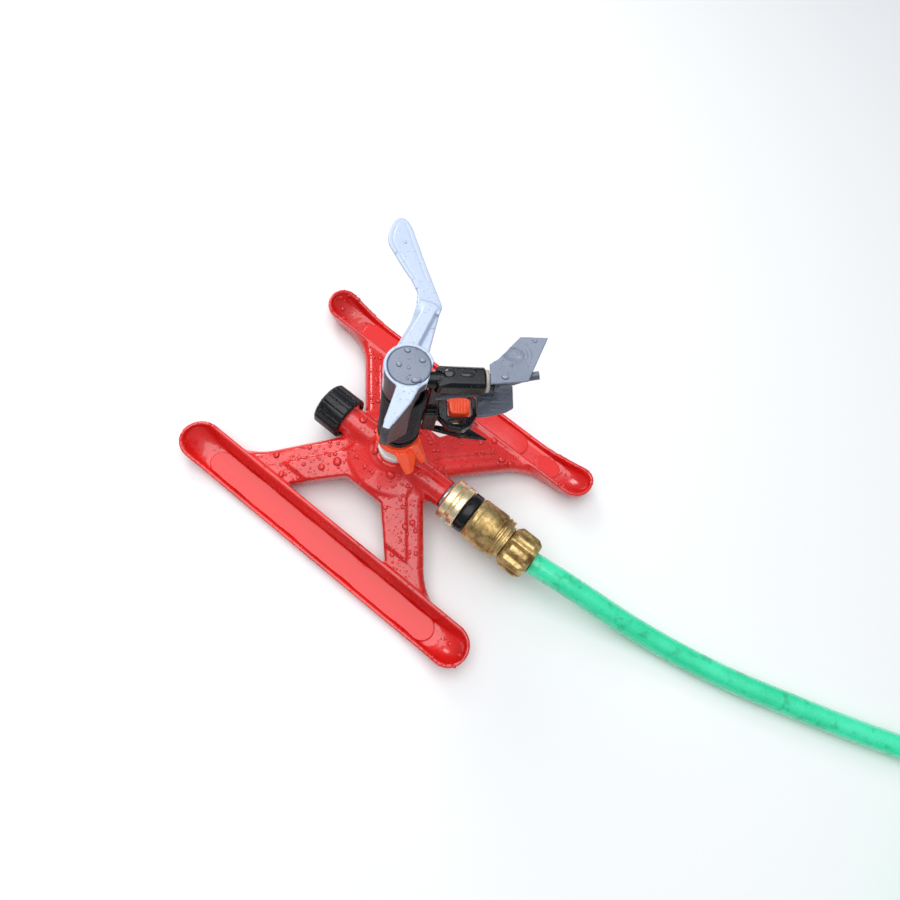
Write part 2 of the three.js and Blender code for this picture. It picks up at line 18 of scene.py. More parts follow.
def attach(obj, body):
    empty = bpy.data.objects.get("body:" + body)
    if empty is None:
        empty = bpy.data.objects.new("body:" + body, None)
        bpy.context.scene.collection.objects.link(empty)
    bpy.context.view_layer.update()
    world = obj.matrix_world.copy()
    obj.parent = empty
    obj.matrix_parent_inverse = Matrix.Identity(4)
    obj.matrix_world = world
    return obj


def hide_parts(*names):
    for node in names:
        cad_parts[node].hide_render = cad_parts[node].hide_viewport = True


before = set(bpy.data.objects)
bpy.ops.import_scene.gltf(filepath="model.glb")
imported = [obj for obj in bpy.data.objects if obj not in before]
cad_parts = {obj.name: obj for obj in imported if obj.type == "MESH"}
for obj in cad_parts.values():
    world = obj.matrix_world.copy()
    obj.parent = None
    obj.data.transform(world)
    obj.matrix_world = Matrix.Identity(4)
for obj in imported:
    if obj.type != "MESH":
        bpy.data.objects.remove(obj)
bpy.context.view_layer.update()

MM = 0.001

# ------------------------------------------------------------------ camera

CAMERA_AT = Vector((0.1015, -0.1724, 0.5059))
CAMERA_RIGHT = Vector((0.7827, 0.6064, 0.1406))
CAMERA_FORWARD = Vector((-0.1365, 0.3875, -0.9117))
CAMERA_LENS = 27.51


def make_camera():
    data = bpy.data.cameras.new("camera")
    data.lens = CAMERA_LENS
    data.sensor_width = 36
    data.clip_start = 0.01
    camera = bpy.data.objects.new("camera", data)
    back = -CAMERA_FORWARD.normalized()
    right = (CAMERA_RIGHT - back * CAMERA_RIGHT.dot(back)).normalized()
    turn = Matrix((right, back.cross(right), back)).transposed()
    camera.matrix_world = Matrix.Translation(CAMERA_AT) @ turn.to_4x4()
    bpy.context.scene.collection.objects.link(camera)
    bpy.context.scene.camera = camera


make_camera()

# ------------------------------------------------------------------ places, in millimetres

HOSE_R = 8.5
HOSE_EXIT_X = 128.7
HEAD_AZIMUTH = 40
ARM_AZIMUTH = 113
TUBE_Z = 28
BARREL_Z = 146
DROP_FROM = 220
TAIL_END = (574.72, 86.66, 51.7)
TAIL_HEADING = 10


def turned_about_z(degrees):
    return Matrix.Rotation(math.radians(degrees), 4, "Z")


SLED = Matrix.Identity(4)
HEAD = turned_about_z(HEAD_AZIMUTH)
ARM = turned_about_z(ARM_AZIMUTH)
# Local Z of the hose line runs along world X, on the hub tube's axis.
HOSE_LINE = Matrix.Translation((0, 0, TUBE_Z)) @ Matrix.Rotation(math.pi / 2, 4, "Y")
FAR_LINE = (
    Matrix.Translation(TAIL_END)
    @ turned_about_z(TAIL_HEADING)
    @ Matrix.Translation((HOSE_EXIT_X, 0, 0))
    @ Matrix.Rotation(-math.pi / 2, 4, "Y")
)

# ------------------------------------------------------------------ materials


class Nodes:
    """A material's node tree with short ways to add what the finishes below share."""

    def __init__(self, name, coordinates="Object"):
        self.material = bpy.data.materials.new(name)
        self.material.use_nodes = True
        self.tree = self.material.node_tree
        self.shader = self.tree.nodes["Principled BSDF"]
        self.place = self.tree.nodes.new("ShaderNodeTexCoord").outputs[coordinates]

    def add(self, kind, inputs=None, **settings):
        node = self.tree.nodes.new("ShaderNode" + kind)
        for key, value in settings.items():
            setattr(node, key, value)
        for key, value in (inputs or {}).items():
            if isinstance(value, bpy.types.NodeSocket):
                self.tree.links.new(value, node.inputs[key])
            else:
                node.inputs[key].default_value = value
        return node

    def link(self, output, name):
        self.tree.links.new(output, self.shader.inputs[name])

    def noise(self, scale, detail=3, roughness=0.5, stretch=None):
        place = self.place
        if stretch:
            place = self.add("Mapping", {"Vector": place, "Scale": stretch}).outputs[0]
        inputs = {"Vector": place, "Scale": scale, "Detail": detail, "Roughness": roughness}
        return self.add("TexNoise", inputs).outputs["Fac"]

    def spread(self, value, low, high, to_low=0.0, to_high=1.0, smooth=True):
        kind = "SMOOTHSTEP" if smooth else "LINEAR"
        inputs = {"Value": value, "From Min": low, "From Max": high, "To Min": to_low, "To Max": to_high}
        return self.add("MapRange", inputs, interpolation_type=kind).outputs[0]

    def mix(self, share, low, high):
        node = self.add("Mix", data_type="RGBA")
        for index, value in ((0, share), (6, low), (7, high)):
            if isinstance(value, bpy.types.NodeSocket):
                self.tree.links.new(value, node.inputs[index])
            else:
                node.inputs[index].default_value = value
        return node.outputs[2]

    def math(self, operation, first, second=0.0):
        return self.add("Math", {0: first, 1: second}, operation=operation).outputs[0]

    def spray(self, cell, share, size=0.3):
        """Height from 0 to 1 of small round beads, one in some of the cells of that many metres."""
        cells = self.add("TexVoronoi", {"Vector": self.place, "Scale": 1 / cell, "Randomness": 1.0})
        chosen = self.add("SeparateColor", {"Color": cells.outputs["Color"]})
        wanted = self.math("LESS_THAN", chosen.outputs[0], share)
        radius = self.spread(chosen.outputs[1], 0, 1, 0.35 * size, size, smooth=False)
        inside = self.math("DIVIDE", cells.outputs["Distance"], radius)
        height = self.spread(inside, 1.0, 0.35)
        return self.math("MULTIPLY", height, wanted)

    def bump(self, height, distance, strength=1.0, under=None):
        inputs = {"Height": height, "Distance": distance, "Strength": strength}
        if under is not None:
            inputs["Normal"] = under
        return self.add("Bump", inputs).outputs[0]


def srgb(red, green, blue):
    def linear(value):
        value /= 255
        return value / 12.92 if value <= 0.04045 else ((value + 0.055) / 1.055) ** 2.4

    return (linear(red), linear(green), linear(blue), 1.0)


GRAIN = 0.00003


def plastic(name, colour, deep, roughness=0.3, coat=0.0, beads=0.0, specular=0.5, painted_glow=0.0):
    """Moulded plastic: slow colour drift, fine moulding grain, uneven gloss and a mist of small beads.
    The glow is painted light: an emission in the deep colour that brightens the part where it lies in shade."""
    n = Nodes(name)
    drift = n.noise(18, 4)
    tint = n.mix(n.spread(drift, 0.35, 0.7), colour, deep)
    height = n.noise(1400, 2)
    normal = n.bump(height, GRAIN)
    wear = n.noise(160, 5, 0.65)
    rough = n.spread(wear, 0.3, 0.75, roughness * 0.75, roughness * 1.3)
    if beads:
        fine = n.spray(0.0019, beads, 0.34)
        coarse = n.spray(0.0048, beads * 0.8, 0.3)
        normal = n.bump(fine, 0.00022, 1.0, normal)
        normal = n.bump(coarse, 0.0006, 1.0, normal)
        wet = n.math("MAXIMUM", fine, coarse)
        rough = n.math("MULTIPLY", rough, n.spread(wet, 0, 0.3, 1, 0.25))
    n.link(tint, "Base Color")
    n.link(rough, "Roughness")
    n.link(normal, "Normal")
    n.shader.inputs["Coat Weight"].default_value = coat
    n.shader.inputs["Coat Roughness"].default_value = 0.06
    n.shader.inputs["Specular IOR Level"].default_value = specular
    # Painted light: the part glows in its deep colour by this much, though it is no lamp.
    n.shader.inputs["Emission Color"].default_value = deep
    n.shader.inputs["Emission Strength"].default_value = painted_glow
    return n.material


def metal(name, colour, deep, roughness=0.3, grain=0.00004, cast=0.0, patina=0.35):
    """Metal with a slow patina in colour and gloss, fine scratches and, for a casting, soft dents."""
    n = Nodes(name)
    stain = n.noise(70, 6, 0.6)
    tint = n.mix(n.spread(stain, 0.4, 0.72, 0, patina * 2), colour, deep)
    if cast:
        tint = n.mix(n.spread(n.noise(620, 4, 0.7), 0.5, 0.68, 0, 0.7), tint, deep)
    normal = n.bump(n.noise(900, 3), grain)
    if cast:
        normal = n.bump(n.noise(150, 3), cast, 1.0, normal)
    rough = n.spread(n.noise(240, 5, 0.7), 0.3, 0.75, roughness * 0.7, roughness * 1.4)
    n.link(tint, "Base Color")
    n.link(rough, "Roughness")
    n.link(normal, "Normal")
    n.shader.inputs["Metallic"].default_value = 1.0
    return n.material


def bead_water(name, colour, edge):
    """A bead of clear water on a coloured surface: the surface's colour, with painted shade darkening it
    towards the bead's foot.
    """
    n = Nodes(name)
    foot = n.add("Attribute", attribute_name="foot").outputs["Fac"]
    # Painted shade: the colour turns to the darker second colour towards the bead's foot.
    tint = n.mix(n.spread(foot, 0.35, 1.0), colour, edge)
    n.link(tint, "Base Color")
    n.shader.inputs["Roughness"].default_value = 0.04
    n.shader.inputs["Specular IOR Level"].default_value = 0.5
    n.link(n.bump(n.noise(500, 2), 0.00005), "Normal")
    return n.material


def painted_silver(name):
    """Pale cast alloy under satin lacquer, faintly mottled by water."""
    n = Nodes(name)
    tint = n.mix(n.spread(n.noise(40, 5, 0.6), 0.4, 0.75, 0, 0.5), srgb(190, 202, 224), srgb(178, 190, 214))
    fine = n.spray(0.0026, 0.25, 0.3)
    normal = n.bump(fine, 0.0001, 1.0, n.bump(n.noise(700, 3), 0.00003))
    n.link(tint, "Base Color")
    n.link(n.spread(n.noise(200, 5), 0.3, 0.7, 0.36, 0.46), "Roughness")
    n.link(normal, "Normal")
    n.shader.inputs["Metallic"].default_value = 0.2
    n.shader.inputs["Specular IOR Level"].default_value = 0.5
    return n.material


def shade_and_dirt_side(name):
    """The arm's steep sides: dark as painted shade, with upright streaks of dirt and water marks."""
    n = Nodes(name)
    streak = n.noise(260, 5, 0.7, stretch=(1, 1, 0.08))
    spots = n.noise(330, 3, 0.6)
    # The dark base colours are painted shade for the sides; the streaks and spots are dirt and water marks.
    tint = n.mix(n.spread(streak, 0.35, 0.7), srgb(48, 42, 46), srgb(104, 96, 100))
    tint = n.mix(n.spread(spots, 0.66, 0.76), tint, srgb(168, 168, 176))
    n.link(tint, "Base Color")
    n.link(n.spread(streak, 0.3, 0.7, 0.35, 0.6), "Roughness")
    n.link(n.bump(streak, 0.0003), "Normal")
    n.shader.inputs["Metallic"].default_value = 0.35
    return n.material


def hose_skin(name):
    """Translucent green hose: pale where it is dry, mottled by water."""
    n = Nodes(name)
    slow = n.noise(24, 4, 0.6)
    blotch = n.noise(110, 5, 0.6)
    tint = n.mix(n.spread(slow, 0.35, 0.7), srgb(36, 216, 158), srgb(66, 236, 182))
    tint = n.mix(n.spread(blotch, 0.54, 0.68, 0, 0.6), tint, srgb(18, 172, 118))
    normal = n.bump(n.spray(0.003, 0.3, 0.32), 0.0003, 1.0, n.bump(blotch, 0.0004))
    n.link(tint, "Base Color")
    n.link(n.spread(blotch, 0.35, 0.7, 0.22, 0.42), "Roughness")
    n.link(normal, "Normal")
    n.shader.inputs["Subsurface Weight"].default_value = 0.12
    n.shader.inputs["Subsurface Radius"].default_value = (0.002, 0.004, 0.003)
    n.shader.inputs["Subsurface Scale"].default_value = 1.0
    n.shader.inputs["Coat Weight"].default_value = 0.6
    n.shader.inputs["Coat Roughness"].default_value = 0.1
    return n.material


RED = plastic("red_plastic", srgb(230, 32, 28), srgb(200, 15, 13), 0.24, 0.55, beads=0.4)
BLACK = plastic("black_plastic", srgb(18, 19, 22), srgb(8, 9, 11), 0.26, 0.1, beads=0.3, specular=0.28)
DULL_BLACK = plastic("spring_black", srgb(40, 42, 48), srgb(22, 23, 26), 0.42, specular=0.4)
GREY = plastic("grey_plastic", srgb(136, 144, 160), srgb(120, 128, 146), 0.42, beads=0.3)
DARK_GREY = plastic("dark_grey_plastic", srgb(94, 99, 112), srgb(68, 72, 83), 0.34, 0.2, beads=0.3)
# The orange parts glow a little: painted light that lifts them out of the head's shade.
ORANGE = plastic("orange_plastic", srgb(255, 84, 30), srgb(255, 70, 20), 0.3, 0.3, beads=0.2, painted_glow=0.14)
WHITE = plastic("white_nylon", srgb(238, 239, 236), srgb(224, 226, 222), 0.35)
CREAM = plastic("cream_nylon", srgb(206, 202, 196), srgb(172, 162, 152), 0.4)
RUBBER = plastic("black_rubber", srgb(26, 26, 28), srgb(18, 18, 19), 0.75)
STEEL = metal("spring_steel", srgb(188, 192, 198), srgb(150, 154, 160), 0.28)
PALE_BRASS = metal("pale_brass", srgb(255, 238, 196), srgb(232, 206, 150), 0.36, patina=0.3)
CAST_BRASS = metal("cast_brass", srgb(214, 186, 128), srgb(134, 104, 58), 0.44, 0.00012, 0.0004, 0.6)
SILVER = painted_silver("silver_paint")
# The arm's dark side material: painted shade on its steep faces, with streaks of dirt.
SHADE_AND_DIRT_SIDE = shade_and_dirt_side("shade_and_dirt_side")
HOSE_GREEN = hose_skin("green_hose")
# Each bead material's second colour is painted shade, laid on towards the bead's foot.
RED_WATER = bead_water("red_water", srgb(226, 42, 40), srgb(150, 8, 8))
PALE_WATER = bead_water("pale_water", srgb(190, 202, 224), srgb(140, 152, 176))
GREY_WATER = bead_water("grey_water", srgb(140, 149, 166), srgb(70, 78, 94))
BLACK_WATER = bead_water("black_water", srgb(34, 37, 43), srgb(6, 7, 8))
BRASS_WATER = bead_water("brass_water", srgb(206, 176, 112), srgb(84, 62, 30))

# ------------------------------------------------------------------ mesh helpers


def weld(data):
    """Points at one spot become one, so that a profile that touches the axis closes there."""
    mesh = bmesh.new()
    mesh.from_mesh(data)
    bmesh.ops.remove_doubles(mesh, verts=mesh.verts, dist=1e-7)
    mesh.to_mesh(data)
    mesh.free()


def place(name, points, faces, where, material, body, slot, nodes=()):
    """A mesh piece from millimetre points in a local frame, put in place and riding on its body."""
    data = bpy.data.meshes.new(name)
    data.from_pydata([tuple(map(float, p)) for p in points], [], [tuple(map(int, f)) for f in faces])
    data.transform(Matrix.Scale(MM, 4) @ where)
    weld(data)
    data.shade_smooth()
    piece = bpy.data.objects.new(name, data)
    bpy.context.scene.collection.objects.link(piece)
    for one in material if isinstance(material, (list, tuple)) else [material]:
        data.materials.append(one)
    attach(piece, body)
    if nodes:
        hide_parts(*nodes)
    return piece


def soften(profile, reach):
    """Each corner of a closed [radius, height] profile becomes three points on a small curve."""
    out = []
    count = len(profile)
    for i, corner in enumerate(profile):
        here = Vector(corner)
        if here.x == 0:
            out.append(here)
            continue
        before, after = Vector(profile[i - 1]), Vector(profile[(i + 1) % count])
        back, ahead = before - here, after - here
        near = min(reach, back.length * 0.4, ahead.length * 0.4)
        start, end = here + back.normalized() * near, here + ahead.normalized() * near
        out += [start, start * 0.25 + here * 0.5 + end * 0.25, end]
    return out


def revolved(profile, segments=96, reach=0.35, wave=None):
    """Points and faces of a profile turned about Z. wave(angle, radius, height) may move the radius."""
    loop = soften(profile, reach)
    points, faces = [], []
    for i in range(segments):
        angle = 2 * math.pi * i / segments
        for r, z in loop:
            radius = wave(angle, r, z) if wave else r
            points.append((radius * math.cos(angle), radius * math.sin(angle), z))
    count = len(loop)
    for i in range(segments):
        for j in range(count):
            a, b = i * count + j, i * count + (j + 1) % count
            c, d = (i + 1) % segments * count + (j + 1) % count, (i + 1) % segments * count + j
            faces.append((a, d, c, b))
    return points, faces


def ring_piece(name, profile, where, material, body, slot, nodes, **options):
    points, faces = revolved(profile, **options)
    area = sum(a[0] * b[1] - b[0] * a[1] for a, b in zip(profile, profile[1:] + profile[:1]))
    if area < 0:
        faces = [f[::-1] for f in faces]
    return place(name, points, faces, where, material, body, slot, nodes)


# Fields: distances in millimetres, negative inside, on a grid of points.


def grid(low, high, step):
    axes = [np.arange(a, b + step, step, dtype=np.float32) for a, b in zip(low, high)]
    return np.meshgrid(*axes, indexing="ij", sparse=True)


def joined(a, b, blend=0.0):
    if blend <= 0:
        return np.minimum(a, b)
    share = np.clip(0.5 + 0.5 * (b - a) / blend, 0, 1)
    return b * (1 - share) + a * share - blend * share * (1 - share)


def shared(a, b, blend=0.0):
    return -joined(-a, -b, blend)


def less(a, b, blend=0.0):
    return shared(a, -b, blend)


def smoothstep(low, high, value):
    t = np.clip((value - low) / (high - low), 0, 1)
    return t * t * (3 - 2 * t)


def polygon(x, y, corners):
    """Distance to a closed outline."""
    x, y = np.broadcast_arrays(x, y)
    nearest = np.full(x.shape, 1e9, np.float32)
    sign = np.ones(x.shape, np.float32)
    for (ax, ay), (bx, by) in zip(corners, corners[1:] + corners[:1]):
        ex, ey = bx - ax, by - ay
        wx, wy = x - ax, y - ay
        t = np.clip((wx * ex + wy * ey) / (ex * ex + ey * ey), 0, 1)
        nearest = np.minimum(nearest, (wx - ex * t) ** 2 + (wy - ey * t) ** 2)
        rising = (y >= ay) & (y < by) & (ex * wy > ey * wx)
        falling = (y < ay) & (y >= by) & (ex * wy < ey * wx)
        sign = np.where(rising | falling, -sign, sign)
    return sign * np.sqrt(nearest)


def drawn_up(flat, z, low, high, rounding=0.0):
    """An outline's field drawn up from low to high, its edges rounded."""
    across = flat + rounding
    along = np.abs(z - (low + high) / 2) - (high - low) / 2 + rounding
    outside = np.sqrt(np.maximum(across, 0) ** 2 + np.maximum(along, 0) ** 2)
    return outside + np.minimum(np.maximum(across, along), 0) - rounding


def rounded_box(x, y, z, centre, half, rounding):
    q = [np.abs(v - c) - h + rounding for v, c, h in zip((x, y, z), centre, half)]
    outside = np.sqrt(sum(np.maximum(v, 0) ** 2 for v in q))
    return outside + np.minimum(np.maximum(np.maximum(q[0], q[1]), q[2]), 0) - rounding


def arc(centre, start, end, count):
    """Points along a quadratic curve from start to end that heads for centre in between."""
    out = []
    for i in range(count + 1):
        t = i / count
        out.append(tuple((1 - t) ** 2 * s + 2 * t * (1 - t) * c + t * t * e
                         for s, c, e in zip(start, centre, end)))
    return out


def skin(field, low, step):
    """Points and quads of a field's zero surface, one point in each crossed cell of the grid."""
    inside = field < 0
    n = np.array(field.shape) - 1
    corners = [(i, j, k) for i in (0, 1) for j in (0, 1) for k in (0, 1)]
    count = np.zeros(tuple(n), np.int8)
    for i, j, k in corners:
        count += inside[i:n[0] + i, j:n[1] + j, k:n[2] + k]
    cells = np.argwhere((count > 0) & (count < 8))
    index = np.full(tuple(n), -1, np.int32)
    index[tuple(cells.T)] = np.arange(len(cells))
    value = {c: field[tuple((cells + c).T)].astype(float) for c in corners}
    total, hits = np.zeros((len(cells), 3)), np.zeros(len(cells))
    for a in corners:
        for axis in range(3):
            if a[axis]:
                continue
            b = tuple(1 if i == axis else a[i] for i in range(3))
            crossed = (value[a] < 0) != (value[b] < 0)
            share = value[a][crossed] / (value[a][crossed] - value[b][crossed])
            spot = np.tile(np.array(a, float), (len(share), 1))
            spot[:, axis] += share
            total[crossed] += spot
            hits[crossed] += 1
    points = np.array(low) + step * (cells + total / hits[:, None])
    faces = []
    for axis in range(3):
        b, c = (axis + 1) % 3, (axis + 2) % 3
        ahead = np.take(inside, range(1, field.shape[axis]), axis)
        behind = np.take(inside, range(field.shape[axis] - 1), axis)
        for starts_inside in (True, False):
            edges = np.argwhere((behind != ahead) & (behind == starts_inside))
            eb, ec = edges[:, b], edges[:, c]
            edges = edges[(eb > 0) & (ec > 0) & (eb < n[b]) & (ec < n[c])]
            quad = []
            for db, dc in ((-1, -1), (0, -1), (0, 0), (-1, 0)):
                cell = edges.copy()
                cell[:, b] += db
                cell[:, c] += dc
                quad.append(index[tuple(cell.T)])
            quad = np.stack(quad if starts_inside else quad[::-1], 1)
            faces.append(quad)
    return points, np.concatenate(faces)


def field_piece(name, field, low, step, where, material, body, slot, nodes=(), passes=0):
    points, faces = skin(field, low, step)
    piece = place(name, points, faces, where, material, body, slot, nodes)
    if passes:
        relax = piece.modifiers.new("relax", "SMOOTH")
        relax.factor, relax.iterations = 0.5, passes
    return piece


# ------------------------------------------------------------------ hose

LEAD_ROUTE = [
    (HOSE_EXIT_X, 0, TUBE_Z), (136, 0.9, 27.8), (153, 3.4, 26.4), (170.4, 6, 23.6), (188, 8.9, 19.6),
    (205.6, 12, 15.4), (223, 15.4, 11.8), (240.6, 18.8, 9.4), (258, 22.2, 8.8), (286, 28.2, 8.8),
    (311, 35, 8.8), (337, 43, 8.8), (364, 51.5, 8.8), (392, 60.8, 8.8), (421, 71.2, 8.8),
    (450, 81, 8.8), (480, 88.5, 8.8), (515, 94.2, 8.8), (552, 97.2, 8.8),
]
COIL_CENTRE = Vector((590, 0))
COIL_OUTER, COIL_INNER, TAIL_R = 98, 81, 88
COIL_Z = (8.8, 25.8, 42.8)
# Turning angle, in degrees, over which the coil's radius or height changes. It turns clockwise
# from the side nearest the far runner, and the last half turn and the connector lie on top.
MOVE_IN, RISE, MOVE_OUT, RISE_AGAIN = (240, 350), (510, 600), (820, 930), (1150, 1240)
TAIL_LIFT = (1370, 1430)
COIL_STEP = 11


def coil_point(angle):
    def done(span):
        return float(smoothstep(*span, angle))

    lift = done(TAIL_LIFT)
    radius = COIL_OUTER + (COIL_INNER - COIL_OUTER) * (done(MOVE_IN) - done(MOVE_OUT))
    radius += (TAIL_R - COIL_OUTER) * lift
    height = COIL_Z[0] + (COIL_Z[1] - COIL_Z[0]) * done(RISE) + (COIL_Z[2] - COIL_Z[1]) * done(RISE_AGAIN)
    height += (TAIL_END[2] - COIL_Z[2]) * lift
    azimuth = math.radians(90 - angle)
    return (COIL_CENTRE.x + radius * math.cos(azimuth), COIL_CENTRE.y + radius * math.sin(azimuth), height)


def make_hose():
    """One Bezier spline through the route, its handles along the chords between neighbours."""
    line = [Vector(p) for p in LEAD_ROUTE]
    line += [Vector(coil_point(a)) for a in np.arange(0, TAIL_LIFT[1] + 1, COIL_STEP)]
    data = bpy.data.curves.new("garden_hose", "CURVE")
    data.dimensions = "3D"
    data.bevel_depth = HOSE_R * MM
    data.bevel_resolution = 7
    data.use_fill_caps = True
    data.resolution_u = 5
    spline = data.splines.new("BEZIER")
    spline.bezier_points.add(len(line) - 1)
    for i, (knot, at) in enumerate(zip(spline.bezier_points, line)):
        before, after = line[max(i - 1, 0)], line[min(i + 1, len(line) - 1)]
        along = (after - before).normalized()
        knot.co = at * MM
        knot.handle_left = (at - along * (at - before).length / 3) * MM
        knot.handle_right = (at + along * (after - at).length / 3) * MM
    data.materials.append(HOSE_GREEN)
    piece = bpy.data.objects.new("garden_hose", data)
    bpy.context.scene.collection.objects.link(piece)
    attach(piece, "sled")
    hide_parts("hose", "hose_coil", "hose_tail")
    return piece


hose = make_hose()

# ------------------------------------------------------------------ sled base

RUNNER_Y = 82
RIM_Z = 19
LIP_Z = 6.5
WALL = 2.8
SLED_STEP = 1.15


def legs(x, y, half_window):
    """Distances to the outer edge of the pair of legs on one side, and to the window between them."""
    right = [(40, 0), (40, 14), (72, 52)] + arc((83, 65), (72, 52), (102, 69), 6)[1:]
    outer = polygon(x, y, right + [(-a, b) for a, b in right[::-1]])
    window = polygon(x, y, [(15.5, 37), (half_window, 65.5), (-half_window, 65.5), (-15.5, 37)]) - 2
    return outer, window


def boat(x, y, z, inset):
    """Distance to a runner's outside, or to its inside when inset is the wall."""
    up = np.clip(z - inset, 0, RIM_Z)
    t = (np.sqrt(4 + 68 * up) - 2) / 34
    half = np.minimum(107 + 40 * t - 10 * t * t, 133) - inset
    width = 12.2 + 3.8 * up / RIM_Z - inset
    return np.sqrt(np.maximum(np.abs(x) - half + width, 0) ** 2 + y * y) - width


def sled_field(x, y, z):
    tube_r = np.sqrt(y * y + (z - TUBE_Z) ** 2)
    thread = 13.1 - 0.5 * np.abs(((x / 2.5) % 1) * 2 - 1)
    tube = np.maximum(tube_r - np.where(x < -44, thread, 11.3), np.maximum(x - 49.5, -60 - x))
    r = np.sqrt(x * x + y * y)
    hub = polygon(r, z, [(0, 21), (26, 22.5), (32, 28.6), (26, 32), (18.5, 36), (15.5, 40.2),
                         (14.7, 41), (0, 41)])
    body = joined(tube, hub, 3)
    for side, half_window in ((1, 30), (-1, 44)):
        along, out = x * side, y * side
        outer, window = legs(along, out, half_window)
        edge = -outer
        top = 31 - 0.22 * (out - 14) - 1.7 * smoothstep(13.4, 12.2, edge)
        top = top - 4.2 * smoothstep(7, -1, edge) ** 2
        slab = shared(np.maximum(outer, -window), z - top, 1.6)
        slab = np.maximum(slab, top - 9 - z)
        hollow = np.maximum(np.maximum(outer, -window) + WALL, z - (top - WALL))
        body = joined(body, np.maximum(slab, -hollow), 4.5)
    body = less(body, np.maximum(tube_r - 8.4, np.abs(x) - 90))
    body = less(body, np.maximum(np.where(z > TUBE_Z, r, 99) - 8.7, TUBE_Z - z))
    for side in (1, -1):
        along, out = x * side, y * side - RUNNER_Y
        outside = shared(boat(along, out, z, 0), np.maximum(z - RIM_Z, -z), 1.2)
        inside = shared(boat(along, out, z, WALL), WALL - z, 1.2)
        body = less(joined(body, outside, 3), inside, 0.8)
        lip = LIP_Z + 13.5 * (np.maximum(np.abs(along) - 73, 0) / 61) ** 2
        outer_side = np.maximum(-out, lip - z)
        body = less(body, np.maximum(outer_side, -30 - out), 0.8)
    return body


def make_sled():
    low = (-136, -101, -2)
    x, y, z = grid(low, (136, 101, 43), SLED_STEP)
    field_piece("sled", sled_field(x, y, z), low, SLED_STEP, SLED, RED, "sled", "red_plastic",
                ["sled_base"], passes=2)


make_sled()

POOL_STEP = 0.5
POOL_FLOOR = 2.4


def pool(name, side, x0, x1, half_width, height, seed):
    """Standing water in a runner: a flat sheet with a wavering edge and a rounded rim."""
    rng = random.Random(seed)
    swing = [rng.uniform(0, 6.28) for _ in range(4)]
    low = (x0 - 12, side * RUNNER_Y - 13, 2)
    x, y, z = grid(low, (x1 + 12, side * RUNNER_Y + 13, 6), POOL_STEP)
    waver = 0.2 * np.sin(x / 9 + swing[0]) + 0.15 * np.sin(x / 4.1 + swing[1])
    out = (y - side * RUNNER_Y) * side
    middle, half = (x0 + x1) / 2, (x1 - x0) / 2
    flat = np.sqrt(np.maximum(np.abs(x - middle) - half + half_width, 0) ** 2 + out * out)
    flat = flat - half_width - waver
    field_piece(name, drawn_up(flat, z, POOL_FLOOR, height, 0.7), low, POOL_STEP, SLED, RED_WATER, "sled",
                "red_plastic")


pool("near_pool", -1, -107, 105, 9.3, 4.6, 3)
pool("far_pool_left", 1, -98, -30, 9.0, 4.2, 5)
pool("far_pool_right", 1, -22, 74, 9.4, 4.4, 8)
pool("far_pool_end", 1, 84, 106, 7.4, 4.2, 9)

# ------------------------------------------------------------------ cap, adaptor and connectors


def ribbed(angle, radius, height):
    if radius < 15.2:
        return radius
    return radius - 0.55 * max(0.0, math.cos(16 * angle)) ** 5


def lobed(angle, radius, height):
    if radius < 13 or not 108.5 < height < 125:
        return radius
    return radius + 0.8 - 2.6 * (0.5 + 0.5 * math.cos(8 * angle)) ** 2.2


ring_piece("cap", [(0, -65.5), (15.4, -65.5), (16.9, -64), (16.9, -44), (15.9, -43), (13.4, -43),
                   (13.4, -62.7), (0, -62.7)],
           HOSE_LINE, BLACK, "sled", "black_plastic", ["end_cap"], segments=192, wave=ribbed)
ring_piece("washer_at_inlet", [(7.9, 49.8), (11, 49.8), (11, 51.7), (7.9, 51.7)], HOSE_LINE, STEEL, "sled",
           "spring_steel", ["inlet_washer"])
ring_piece("adaptor", [(5.4, 42), (7.6, 42), (7.6, 52), (15, 52), (16.3, 53), (16.3, 58), (13.6, 58.6),
                       (13.6, 61), (16.6, 61.6), (16.6, 66), (15.6, 66.8), (9.6, 67), (9.6, 72), (8, 74),
                       (8, 79), (9.2, 80.5), (9.2, 83), (5.4, 83)],
           HOSE_LINE, PALE_BRASS, "sled", "pale_brass", ["tap_adaptor"])
ring_piece("collar", [(10.2, 67.6), (15.9, 67.6), (15.9, 74.7), (10.2, 74.7)], HOSE_LINE, BLACK, "sled",
           "black_plastic", ["connector_collar"], reach=0.8)

SLEEVE = [(13.1, 75.3), (15.4, 75.3), (16.6, 77.5), (16.5, 80), (16.8, 80.4), (16.5, 80.8), (16.6, 86),
          (17, 92), (16.6, 97), (15.5, 97.6), (15.5, 98.6), (16.4, 99.2), (16.4, 100.6), (15.5, 101.2),
          (15.5, 102.2), (16.2, 102.8), (16.2, 104), (13.1, 104)]
CORE = [(4.6, 76), (10, 76), (10, 96.8), (12.7, 97.4), (12.7, 106), (11.2, 106.5), (11.2, 118), (6, 118.5),
        (6, 127), (4.6, 127)]
NUT = [(11.7, 107), (13.4, 107), (15.7, 110.5), (15.7, 124), (14, 128.4), (8.9, 128.4), (8.9, 125),
       (10.7, 125), (10.7, 119), (11.7, 119)]

for prefix, line, moving in (("", HOSE_LINE, "sleeve"), ("far_", FAR_LINE, "far_sleeve")):
    ring_piece(prefix + "brass_sleeve", SLEEVE, line, CAST_BRASS, moving, "cast_brass",
               [prefix + "connector_sleeve"], segments=96)
    ring_piece(prefix + "brass_core", CORE, line, CAST_BRASS, "sled", "cast_brass",
               [prefix + "connector_core"])
    ring_piece(prefix + "brass_nut", NUT, line, CAST_BRASS, "sled", "cast_brass", [prefix + "hose_nut"],
               segments=160, reach=0.6, wave=lobed)

# ------------------------------------------------------------------ bearing and clips

